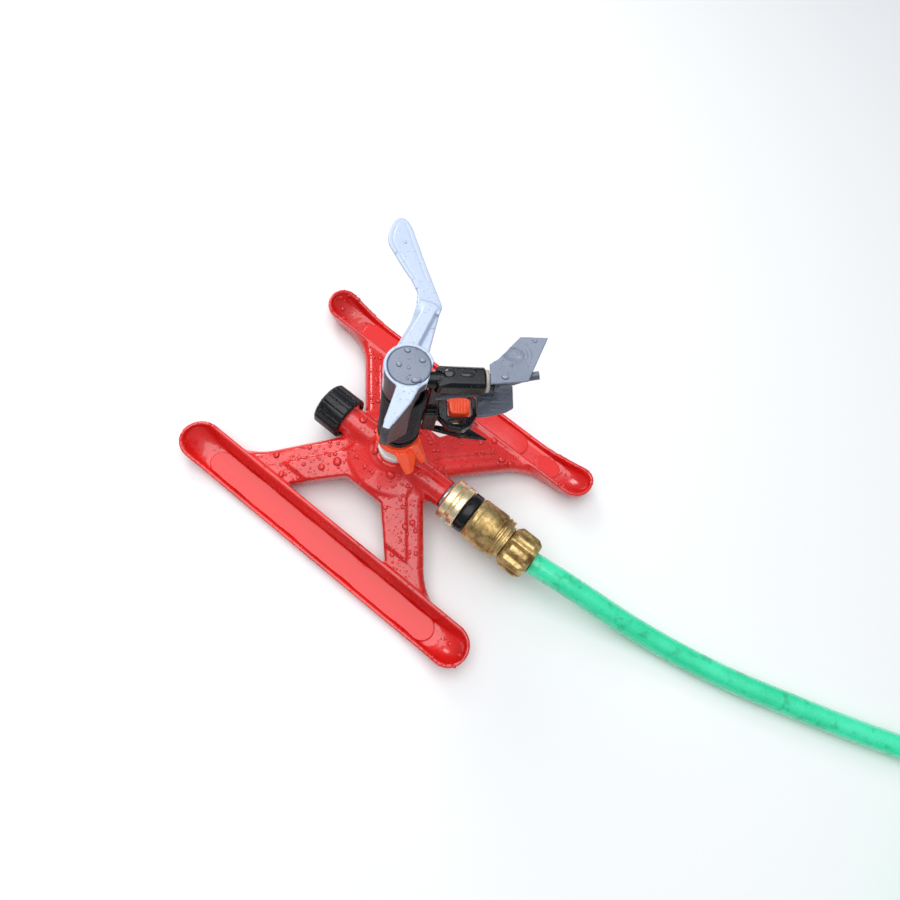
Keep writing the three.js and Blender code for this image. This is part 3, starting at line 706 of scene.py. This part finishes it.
ring_piece("nipple", [(6.3, 35.3), (8.4, 35.3), (8.4, 41.3), (12.5, 41.3), (12.5, 46), (11, 46.3), (11, 73.5),
                      (9.3, 73.5), (9.3, 56), (6.3, 56)],
           SLED, WHITE, "sled", "white_nylon", ["bearing_nipple"])


def clip(name, body, azimuth, z0, half_width, node):
    low = (-16, -16, z0 - 20)
    x, y, z = grid(low, (26, 16, z0 + 5), 0.42)
    r = np.sqrt(x * x + y * y)
    band = drawn_up(np.maximum(r - 14.8, 11.4 - r), z, z0, z0 + 3.2, 0.7)
    hook = polygon(x, z, [(12.4, z0), (12.4, z0 + 3.2), (15.8, z0 + 3.4), (24.8, z0 - 14),
                          (23.6, z0 - 18.2), (20.6, z0 - 17), (15, z0)])
    reach = 2.4 + (half_width - 2.4) * np.clip((z - z0 + 18) / 18, 0, 1)
    fold = 0.8 * np.abs(y) / half_width
    tab = shared(hook + fold - 0.4, np.abs(y) - reach, 1.0)
    field_piece(name, joined(band, tab, 1.2), low, 0.42, turned_about_z(azimuth), ORANGE, body,
                "orange_plastic", [node])


clip("left_clip", "left_clip", -27, 62.4, 7.4, "sector_clip_left")
clip("right_clip", "right_clip", 4, 66, 5.2, "sector_clip_right")

# ------------------------------------------------------------------ head

HEAD_STEP = 0.4


def make_casting():
    low = (-16, -16, 73)
    x, y, z = grid(low, (54, 16, 156), 0.55)
    r = np.sqrt(x * x + y * y)
    tower = polygon(r, z, [(0, 74.3), (14.6, 74.3), (14.6, 77.7), (11, 78), (11, 132), (9, 136), (9, 151.4),
                           (6, 151.4), (6, 154.4), (0, 154.4)])
    barrel_r = np.sqrt(y * y + (z - BARREL_Z) ** 2)
    barrel = np.maximum(barrel_r - 5.2, np.maximum(x - 52.4, -x))
    rivet_post = np.maximum(np.sqrt((x - 50) ** 2 + y * y) - 1.6, np.maximum(z - 153.3, 150 - z))
    barrel = joined(barrel, rivet_post)
    spine = rounded_box(x, y, z, (18.6, 0, 116.5), (4.1, 3, 28.5), 1.0)
    bracket = rounded_box(x, y, z, (17.2, 0, 100), (5.5, 7, 12), 1.0)
    neck = rounded_box(x, y, z, (24, 0, 99.8), (3.4, 4.5, 2.4), 0.8)
    body = joined(joined(tower, barrel, 1.5), joined(joined(spine, bracket, 1.0), neck, 0.8), 0.8)
    body = less(body, np.maximum(np.maximum(r - 14.9, 11 - r), np.maximum(78 - z, z - 134)))
    body = less(body, np.maximum(barrel_r - 3.4, -x))
    body = less(body, np.maximum(r - 6.2, z - 92))
    body = less(body, np.maximum(r - 4.2, z - BARREL_Z))
    body = less(body, np.maximum(r - 2.8, 151.2 - z))
    field_piece("casting", body, low, 0.55, HEAD, BLACK, "head", "black_plastic", ["body_casting"])


make_casting()


def make_shroud():
    low = (14, -9, 138)
    x, y, z = grid(low, (49, 9, 154), HEAD_STEP)
    across, up = np.abs(y), np.abs(z - BARREL_Z)
    prism = shared(shared(across - 7.4, up - 6.4, 0.6), (across + up - 11.4) * 0.707, 0.5)
    near_end = np.sqrt(np.maximum(21 - x, 0) ** 2 + np.maximum(across - 3.4, 0) ** 2) - 4.4
    prism = shared(prism, np.maximum(16.6 - x, x - 46.6), 0.8)
    prism = shared(prism, np.where(x < 21, near_end, -4), 0.5)
    prism = shared(prism, (z - 152.4 - (x - 16) * 0.28 + 2.4), 0.8)
    body = less(prism, np.sqrt(y * y + (z - BARREL_Z) ** 2) - 5.5)
    field_piece("shroud", body, low, HEAD_STEP, HEAD, BLACK, "head", "black_plastic", ["barrel_shroud"])


make_shroud()
ALONG_BARREL = HEAD @ Matrix.Translation((0, 0, BARREL_Z)) @ Matrix.Rotation(math.pi / 2, 4, "Y")
ring_piece("barrel_ring", [(5.3, 46.9), (7.0, 46.9), (7.0, 49.3), (5.3, 49.3)], ALONG_BARREL, CREAM, "head",
           "white_nylon", ["barrel_washer"], reach=0.7)


def make_nozzle():
    low = (51, -8, 138)
    x, y, z = grid(low, (81, 8, 160), HEAD_STEP)
    ring_r = np.sqrt(y * y + (z - BARREL_Z) ** 2)
    flange = drawn_up(ring_r - 6.4, x, 52.2, 55.7, 0.6)
    pitch = math.radians(22)
    along = (x - 54.3) * math.cos(pitch) + (z - BARREL_Z) * math.sin(pitch)
    lift = (z - BARREL_Z) * math.cos(pitch) - (x - 54.3) * math.sin(pitch)
    r = np.sqrt(y * y + lift * lift)
    radius = 4.4 - 0.6 * smoothstep(0, 8, along) - 1.2 * smoothstep(8, 19, along)
    cone = np.maximum(r - radius, np.maximum(along - 26, -along))
    body = joined(flange, cone, 1.2)
    body = less(body, np.maximum(r - 1.6, 0.5 - along), 0.3)
    body = less(body, np.maximum(ring_r - 3.2, x - 55.1))
    field_piece("nozzle_cone", body, low, HEAD_STEP, HEAD, DARK_GREY, "head", "dark_grey_plastic", ["nozzle"])


make_nozzle()


def make_deflector():
    """The jet breaker: a bent plate with a shallow dish, and raised arcs round the dish on its wing."""
    low = (45, -10, 152)
    x, y, z = grid(low, (88, 28, 162), HEAD_STEP)
    tilt = math.radians(3.5)
    along = (x - 50) * math.cos(tilt) + (z - 155.2) * math.sin(tilt)
    up = (z - 155.2) * math.cos(tilt) - (x - 50) * math.sin(tilt)
    plan = polygon(along + 50, y, [(48.4, -7.3), (63, -6.2), (71, -5.4), (85.6, 24.6), (68.4, 25), (61, 17),
                                   (54, 9.6), (48.4, 6)])
    east, north = along + 50 - 62.5, y - 12.2
    away = np.sqrt(east ** 2 + (north * 1.25) ** 2)
    dish = 0.9 * smoothstep(5.6, 2.0, away)
    facing = smoothstep(0.1, 0.6, (east * 0.6 + north * 0.8) / np.maximum(away, 1))
    arcs = (0.5 + 0.5 * np.cos((away - 6.2) * 2 * math.pi / 2.5)) * smoothstep(5.2, 6.2, away)
    arcs = 0.45 * arcs * smoothstep(13.6, 12.4, away) * facing
    lip = 0.45 * np.exp(-((away - 6.2) / 1.1) ** 2)
    top = 1.6 - dish + arcs + lip
    body = shared(shared(plan, up - top, 0.6), -up, 0.3)
    body = less(body, np.maximum(np.sqrt(along ** 2 + y * y) - 1.9, up - 0.9))
    field_piece("deflector_plate", body, low, HEAD_STEP, HEAD, GREY, "deflector", "grey_plastic",
                ["jet_deflector"])


make_deflector()
ring_piece("deflector_rivet", [(0, 153.2), (1.6, 153.2), (1.6, 155.8), (0, 155.8)],
           HEAD @ Matrix.Translation((50, 0, 0)), STEEL, "head", "spring_steel", ["deflector_pin"],
           segments=48)


def make_frame():
    low = (21, -13, 94)
    x, y, z = grid(low, (52, 16, 105), HEAD_STEP)
    box = polygon(x, y, [(24.6, 6), (29.5, 12.2), (46, 12.4), (48.6, 9), (49, -1), (44, -8.4),
                         (38.6, -11.4), (31, -9.8), (25.6, -3.4)]) - 1.6
    body = drawn_up(box, z, 96.5, 103, 1.4)
    pin_boss = drawn_up(np.sqrt((x - 42) ** 2 + (y + 4.6) ** 2) - 3.4, z, 94.8, 98, 0.5)
    body = joined(body, pin_boss, 0.5)
    hole = rounded_box(x, y, z, (38.3, 4.5, 100), (8.1, 7.9, 99), 2.6)
    lens = (np.sqrt(((x - 35.8) / 4.6) ** 2 + ((y + 6.8) / 1.6) ** 2) - 1) * 1.6
    body = less(less(body, hole, 0.5), lens, 0.4)
    field_piece("frame_of_button", body, low, HEAD_STEP, HEAD, BLACK, "head", "black_plastic",
                ["button_frame"])


make_frame()


def make_button():
    low = (29, -5, 97)
    x, y, z = grid(low, (47, 11, 108), 0.34)
    u, v = x - 38.2, y - 3.8
    half_width = 7.5 - 0.9 * smoothstep(5.8, -5.8, v)
    flat = shared(np.abs(u) - half_width, np.abs(v) - 5.8 + 0.5 * (u / 7.5) ** 2, 2.5)
    ribs = 0.55 * (0.5 + 0.5 * np.cos(u * 2 * math.pi / 2.1)) * smoothstep(-0.6, -1.8, flat)
    body = shared(flat, z - (104.9 + ribs), 0.8)
    body = np.maximum(body, 98 - z)
    field_piece("button", body, low, 0.34, HEAD, ORANGE, "button", "orange_plastic", ["circle_button"])


make_button()


def make_scale_plate():
    low = (15, -14, 118)
    x, y, z = grid(low, (73, 16, 132), 0.45)
    plan = polygon(x, y, [(46.4, 11), (62, 12), (70.3, 10.3), (69.5, -5), (65, -7.8), (55.5, -10.6),
                          (46.4, -12)]) - 0.4
    lines = smoothstep(0.6, 0.3, np.abs(((y + 5.4) / 2.9) % 1 - 0.5) * 2.9)
    lines = 0.5 * lines * smoothstep(-2.2, -2.8, plan) * smoothstep(55, 56, x)
    plate = shared(plan, np.maximum(z - 122 - lines, 119.6 - z), 0.8)
    ridge = np.full(np.broadcast(x, y, z).shape, 99.0, np.float32)
    spine = [(20.5, -1.2), (30, 0.3), (38, 1.2), (46, 2.6), (52, 5.4), (56, 7.4)]
    for (ax, ay), (bx, by) in zip(spine, spine[1:]):
        t = np.clip(((x - ax) * (bx - ax) + (y - ay) * (by - ay)) / ((bx - ax) ** 2 + (by - ay) ** 2), 0, 1)
        away = np.sqrt((x - ax - (bx - ax) * t) ** 2 + (y - ay - (by - ay) * t) ** 2)
        tall = np.sqrt(np.maximum(away - 0.7, 0) ** 2 + (z - 127.4) ** 2) - 2.1
        ridge = joined(ridge, tall, 0.5)
    web = rounded_box(x, y, z, (53, 5, 124), (4, 3, 4), 1.0)
    body = joined(joined(plate, ridge, 1.5), web, 1.5)
    field_piece("plate", body, low, 0.45, HEAD, DARK_GREY, "head", "dark_grey_plastic", ["scale_plate"])


make_scale_plate()


def make_lever():
    low = (16, -13, 77)
    x, y, z = grid(low, (63, 3, 88), 0.45)
    r = np.sqrt((x - 42) ** 2 + (y + 4.6) ** 2)
    hub = drawn_up(r - 4.4, z, 79, 86, 0.8)
    pointer = drawn_up(polygon(x, y, [(39, -2), (46.5, -1.5), (60.5, -10.6), (45, -9.2)]), z, 80, 83.4, 0.7)
    finger = drawn_up(polygon(x, y, [(39, -8.4), (18.5, -3), (18.5, 0), (40, -2)]), z, 80, 83.2, 0.6)
    body = less(joined(joined(hub, pointer, 1), finger, 1), r - 1.8)
    field_piece("lever", body, low, 0.45, HEAD, BLACK, "lever", "black_plastic", ["trip_lever"])


make_lever()


def make_arm_spring():
    data = bpy.data.curves.new("return_spring", "CURVE")
    data.dimensions = "3D"
    data.bevel_depth = 1.2 * MM
    data.bevel_resolution = 3
    data.use_fill_caps = True
    turns, per_turn = 16, 40
    spline = data.splines.new("POLY")
    spline.points.add(turns * per_turn)
    for i, point in enumerate(spline.points):
        angle = 2 * math.pi * i / per_turn
        height = 79.6 + (131.5 - 79.6) * i / (turns * per_turn)
        at = HEAD @ Vector((13.2 * math.cos(angle), 13.2 * math.sin(angle), height))
        point.co = (*(at * MM), 1)
    spline.use_smooth = True
    data.materials.append(DULL_BLACK)
    piece = bpy.data.objects.new("return_spring", data)
    bpy.context.scene.collection.objects.link(piece)
    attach(piece, "head")
    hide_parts("arm_spring")


make_arm_spring()

# ------------------------------------------------------------------ swing arm

ARM_STEP = 0.6
ARM_LOW, ARM_TOP = 153.4, 162
PADDLE_LOW, PADDLE_TOP = 159.3, 161.3
HUB_R = 15
DISC_WELL_R = 12.8
BORE_R = 4.9


def arm_field(x, y, z):
    r = np.sqrt(x * x + y * y)
    azimuth = np.degrees(np.arctan2(y, x)) % 360
    ring = drawn_up(np.maximum(r - HUB_R, DISC_WELL_R - r), z, ARM_LOW, ARM_TOP, 0.8)
    floor = np.maximum(np.maximum(r - 13.4, BORE_R - r), np.abs(z - 156.3) - 1.3)
    skirt = np.maximum(np.maximum(r - 14.5, 12.5 - r), np.maximum(z - 156, 137 - z))
    skirt = np.maximum(skirt, (np.abs(azimuth - 131) - 86) * 0.24)
    bar_plan = polygon(x, y, [(9, 11.5), (29.5, 7.9), (46, 7.5), (46, -7), (14, -8.4), (9, -9)])
    right_line = -1.6 - (x - 15.5) * 0.143
    left_in = 8.2 - (x - 12.7) * 0.198
    left_out = 11.2 - (x - 12) * 0.2
    bevel = np.clip((y - left_in) / np.maximum(left_out - left_in, 1), 0, 1.3)
    top = ARM_TOP - 3.2 * smoothstep(right_line + 0.8, right_line - 0.9, y) * smoothstep(44, 41, x)
    top = top - 2.8 * bevel * smoothstep(46, 32, x)
    arch = np.sqrt(((x - 38) / 8.4) ** 2 + ((y - 1.0) / 9.5) ** 2)
    top = top - 1.0 * smoothstep(0.98, 1.06, arch) * smoothstep(37, 40, x)
    bar = np.maximum(shared(bar_plan, z - top, 0.9), ARM_LOW - z)
    hollow = np.maximum(polygon(x, y, [(5, 9), (43, 5.2), (43, -4.6), (5, -6)]), z - (top - 2.6))
    bar = np.maximum(bar, -hollow)
    paddle_plan = polygon(x, y, [(44, 7.6), (50.7, 8.8), (58, 14.5), (66, 23), (76.6, 33), (79.5, 35.6),
                                 (83, 37.3), (87.5, 38.2), (93, 38.4), (98, 37.4), (101, 35.4),
                                 (101.6, 32.6), (100, 29.4), (96, 25.8), (72, 10.5), (46, -7),
                                 (40, -7)]) - 0.6
    away = np.clip((x - 44) / 50, 0, 1)
    paddle = drawn_up(paddle_plan, z, PADDLE_LOW, PADDLE_TOP, 0.9)
    groove = np.maximum(np.abs(paddle_plan + 3.2) - 0.45, 160.8 - z) + 4 * smoothstep(0.35, 0.15, away)
    paddle = less(paddle, groove + 0.25, 0.3)
    fin_plan = polygon(x, y, [(-6, 3.4), (-40, 3.9), (-45.4, 3.8), (-46.8, 2), (-46, -0.6), (-40, -1.6),
                              (-22.4, -7.8), (-10.9, -9.8), (-6, -10)])
    profile = polygon(x, z, [(-6, 162), (-41.8, 162), (-43.2, 161), (-46.4, 153), (-46.2, 147), (-42, 139.5),
                             (-20, 114), (-19, 147), (-6, 153.4)])
    fin = shared(fin_plan, profile, 1.2)
    vane_plan = polygon(x, y, [(88.5, 23.6), (90, 22.9), (97.2, 29.2), (96.2, 30.6)])
    vane = drawn_up(vane_plan, z, 146, 159.8, 0.5)
    body = joined(joined(ring, bar, 0.8), joined(paddle, vane, 1.5), 0.9)
    body = joined(body, joined(floor, skirt, 0.5), 0.5)
    body = joined(body, fin, 1.4)
    body = less(body, np.maximum(r - DISC_WELL_R, 157.6 - z), 0.4)
    body = less(body, np.maximum(r - 12.5, z - 155))
    return less(body, r - BORE_R)


def make_arm():
    low = (-54, -13, 112)
    x, y, z = grid(low, (104, 40, 164), ARM_STEP)
    points, faces = skin(arm_field(x, y, z), low, ARM_STEP)
    piece = place("arm", points, faces, ARM, [SILVER, SHADE_AND_DIRT_SIDE], "arm", "silver_paint", ["swing_arm"])
    corners = points[faces]
    across = np.cross(corners[:, 2] - corners[:, 0], corners[:, 3] - corners[:, 1])
    upward = across[:, 2] / np.maximum(np.linalg.norm(across, axis=1), 1e-9)
    middle = corners[:, :, 0].mean(1)
    # Painted shade: the fin's steep faces, and most faces near its far end, take the dark side material.
    shaded_faces = ((upward < 0.45) & (middle < -8)) | ((upward < 0.88) & (middle < -38))
    piece.data.polygons.foreach_set("material_index", shaded_faces.astype(np.int32))
    relax = piece.modifiers.new("relax", "SMOOTH")
    relax.factor, relax.iterations = 0.5, 1


make_arm()
ring_piece("disc_on_arm", [(0, 159.7), (12.55, 159.7), (12.55, 161.4), (11.9, 162), (0, 162.1)],
           ARM, GREY, "arm", "grey_plastic", ["arm_cap"])

# ------------------------------------------------------------------ pieces kept from the CAD

for material, names in (
    (RUBBER, ("end_cap_seal", "adaptor_seal")),
    (STEEL, ("locking_ring", "sleeve_spring", "hose_clamp_ring", "far_hose_clamp_ring", "spindle_washer",
             "friction_spring", "trip_pin", "trip_spring", "pivot_post")),
    (WHITE, ("spindle", "thrust_washer", "arm_bush")),
):
    for name in names:
        for kept_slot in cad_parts[name].material_slots:
            kept_slot.material = material

# ------------------------------------------------------------------ beads of water


def world_mesh(piece):
    """The piece's shown mesh as a tree for casting rays."""
    return BVHTree.FromObject(piece, bpy.context.evaluated_depsgraph_get())


FOOT_SINK = 0.1
TRIES_PER_BEAD = 12


def bead_shape(dome):
    """A unit dome: points and faces, and how near each point is to the foot, which sets where the bead's
    material paints shade.
    """
    rings, sides = 5, 12
    points, foot = [(0, 0, dome)], [0.0]
    for i in range(1, rings + 1):
        t = i / rings
        bulge = math.sin(t * math.pi / 2)
        height = dome * math.cos(t * math.pi / 2) - (FOOT_SINK if i == rings else 0)
        for k in range(sides):
            angle = 2 * math.pi * k / sides
            points.append((bulge * math.cos(angle), bulge * math.sin(angle), height))
            foot.append(t)
    faces = [(0, 1 + k, 1 + (k + 1) % sides) for k in range(sides)]
    for i in range(rings - 1):
        for k in range(sides):
            a, b = 1 + i * sides + k, 1 + i * sides + (k + 1) % sides
            faces.append((a, a + sides, b + sides, b))
    last = 1 + (rings - 1) * sides
    faces.append(tuple(range(last, last + sides))[::-1])
    return points, faces, foot


def bead_field(name, target, region, count, sizes, material, body, slot, seed, keep=None, steepest=0.5,
               chosen=(), dome=0.55):
    """Beads dropped from above on the named piece, inside a box given in world millimetres. The
    chosen ones, as (x, y, size, length over width, turn), come first. dome is height over radius."""
    rng = random.Random(seed)
    shape, shape_faces, shape_foot = bead_shape(dome)
    tree = world_mesh(bpy.data.objects[target])
    points, faces, foot, placed = [], [], [], []
    (x0, x1), (y0, y1) = region
    chosen = list(chosen)
    for _ in range(len(chosen) + count * TRIES_PER_BEAD):
        if len(placed) >= count and not chosen:
            break
        squash, turning = rng.uniform(0.85, 1.2), rng.uniform(0, 3.14)
        x, y = rng.uniform(x0, x1), rng.uniform(y0, y1)
        size = sizes[0] + (sizes[1] - sizes[0]) * rng.random() ** 2.2
        if chosen:
            x, y, size, squash, turning = chosen.pop(0)
        if keep and not keep(x, y):
            continue
        if any((x - px) ** 2 + (y - py) ** 2 < (size + ps) ** 2 for px, py, ps in placed):
            continue
        spot, normal = tree.ray_cast(Vector((x, y, DROP_FROM)) * MM, Vector((0, 0, -1)))[:2]
        if spot is None or normal.z < steepest:
            continue
        placed.append((x, y, size))
        turn = Vector((0, 0, 1)).rotation_difference(normal).to_matrix()
        yaw = Matrix.Rotation(turning, 3, "Z")
        start = len(points)
        for px, py, pz in shape:
            local = turn @ (yaw @ Vector((px * squash, py / squash, pz)))
            points.append(spot / MM + local * size)
        faces += [tuple(start + i for i in face) for face in shape_faces]
        foot += shape_foot
    piece = place(name, points, faces, Matrix.Identity(4), material, body, slot)
    # The foot attribute tells the beads' material where to paint shade at each bead's foot.
    piece.data.attributes.new("foot", "FLOAT", "POINT").data.foreach_set("value", foot)


def on_head(x, y):
    """World x and y of a spot on the head."""
    return (HEAD @ Vector((x, y, 0)))[:2]


def off_pools(x, y):
    return not 65 < abs(y) < 99


def in_runners(x, y):
    return 66 < abs(y) < 99


def in_runner_ends(x, y):
    return in_runners(x, y) and abs(x) > 109


def make_beads():
    sled_area = ((-132, 132), (-98, 98))
    for name, count, sizes, seed, keep, steepest in (
        ("sled_beads_large", 46, (1.7, 3.6), 11, off_pools, 0.72),
        ("sled_beads_middle", 260, (0.8, 1.8), 12, off_pools, 0.72),
        ("sled_beads_small", 900, (0.35, 0.8), 13, off_pools, 0.72),
        ("rim_beads", 420, (0.3, 0.95), 14, in_runners, 0.8),
        ("end_beads", 130, (0.5, 2.0), 15, in_runner_ends, 0.62),
    ):
        bead_field(name, "sled", sled_area, count, sizes, RED_WATER, "sled", "red_plastic", seed, keep,
                   steepest)
    bead_field("sleeve_beads", "brass_sleeve", ((76, 103), (-16, 16)), 170, (0.2, 0.55), BRASS_WATER,
               "sleeve", "cast_brass", 16, None, 0.3)
    for name, count, sizes, seed in (("large", 9, (0.9, 1.7), 21), ("small", 170, (0.25, 0.6), 22)):
        bead_field("arm_beads_" + name, "arm", ((-60, 60), (-60, 115)), count, sizes, PALE_WATER, "arm",
                   "silver_paint", seed, None, 0.75)
    bead_field("disc_beads", "disc_on_arm", ((-12, 12), (-12, 12)), 26, (0.25, 0.6), GREY_WATER, "arm",
               "grey_plastic", 31, None, 0.9,
               [(-7.1, 7.0, 1.9, 1.1, 0.4), (-4.8, -3.6, 1.7, 1, 0), (3.6, 7.6, 1.9, 1.1, 0.7),
                (9.0, -5.0, 2.5, 1.3, 0.9), (0.8, -1.6, 1.0, 1, 0), (4.0, -4.6, 0.8, 1, 0)])
    bead_field("deflector_beads", "deflector_plate", ((10, 80), (10, 80)), 50, (0.25, 0.6), GREY_WATER,
               "deflector", "grey_plastic", 32, None, 0.8,
               [on_head(57, -3) + (2.0, 1.2, 0.6), on_head(77, 22) + (1.3, 1, 0)])
    along = math.radians(HEAD_AZIMUTH)
    bead_field("shroud_beads", "shroud", ((5, 60), (0, 60)), 60, (0.25, 0.7), BLACK_WATER, "head",
               "black_plastic", 33, None, 0.7,
               [on_head(24.5, 1.5) + (3.4, 1.05, 0.6), on_head(35.5, 0.5) + (2.8, 1.6, along),
                on_head(40.5, 1.6) + (2.4, 1.3, along)], 0.27)
    bead_field("frame_beads", "frame_of_button", ((5, 60), (0, 60)), 60, (0.3, 0.9), BLACK_WATER, "head",
               "black_plastic", 34, None, 0.8)
    bead_field("cap_beads", "cap", ((-66, -42), (-17, 17)), 70, (0.3, 1.2), BLACK_WATER, "sled",
               "black_plastic", 35, None, 0.5)


make_beads()

# ------------------------------------------------------------------ floor and light


def make_floor():
    data = bpy.data.meshes.new("floor")
    side, below = 3.0, -0.0002
    corners = [(-side, -side, below), (side, -side, below), (side, side, below), (-side, side, below)]
    data.from_pydata(corners, [], [(0, 1, 2, 3)])
    floor = bpy.data.objects.new("floor", data)
    bpy.context.scene.collection.objects.link(floor)
    n = Nodes("floor_paper", "Generated")
    tint = n.mix(n.noise(6, 3), srgb(246, 246, 245), srgb(242, 242, 241))
    n.link(tint, "Base Color")
    n.shader.inputs["Roughness"].default_value = 0.7
    data.materials.append(n.material)


def make_sky():
    world = bpy.data.worlds.new("sky")
    world.use_nodes = True
    bpy.context.scene.world = world
    tree = world.node_tree
    place_on = tree.nodes.new("ShaderNodeTexCoord")
    split = tree.nodes.new("ShaderNodeSeparateXYZ")
    ramp = tree.nodes.new("ShaderNodeValToRGB")
    tree.links.new(place_on.outputs["Generated"], split.inputs[0])
    tree.links.new(split.outputs["Z"], ramp.inputs["Fac"])
    tree.links.new(ramp.outputs["Color"], tree.nodes["Background"].inputs["Color"])
    ramp.color_ramp.elements[0].position = 0.0
    ramp.color_ramp.elements[0].color = (0.22, 0.23, 0.25, 1)
    ramp.color_ramp.elements[1].position = 0.92
    ramp.color_ramp.elements[1].color = (1.05, 1.1, 1.16, 1)
    between = ramp.color_ramp.elements.new(0.6)
    between.color = (0.4, 0.42, 0.46, 1)
    tree.nodes["Background"].inputs["Strength"].default_value = 0.85


def soft_light(name, at, towards, size, power):
    data = bpy.data.lights.new(name, "AREA")
    data.shape = "RECTANGLE"
    data.size, data.size_y = size
    data.energy = power
    light = bpy.data.objects.new(name, data)
    light.location = at
    light.rotation_euler = (Vector(towards) - Vector(at)).to_track_quat("-Z", "Y").to_euler()
    bpy.context.scene.collection.objects.link(light)


make_floor()
make_sky()
soft_light("window", (-0.15, -0.1, 1.2), (0, 0, 0), (1.3, 1.1), 9.5)
soft_light("side", (-0.9, 0.5, 0.8), (0, 0, 0.05), (0.4, 0.4), 4)
bpy.context.scene.view_settings.view_transform = "Standard"
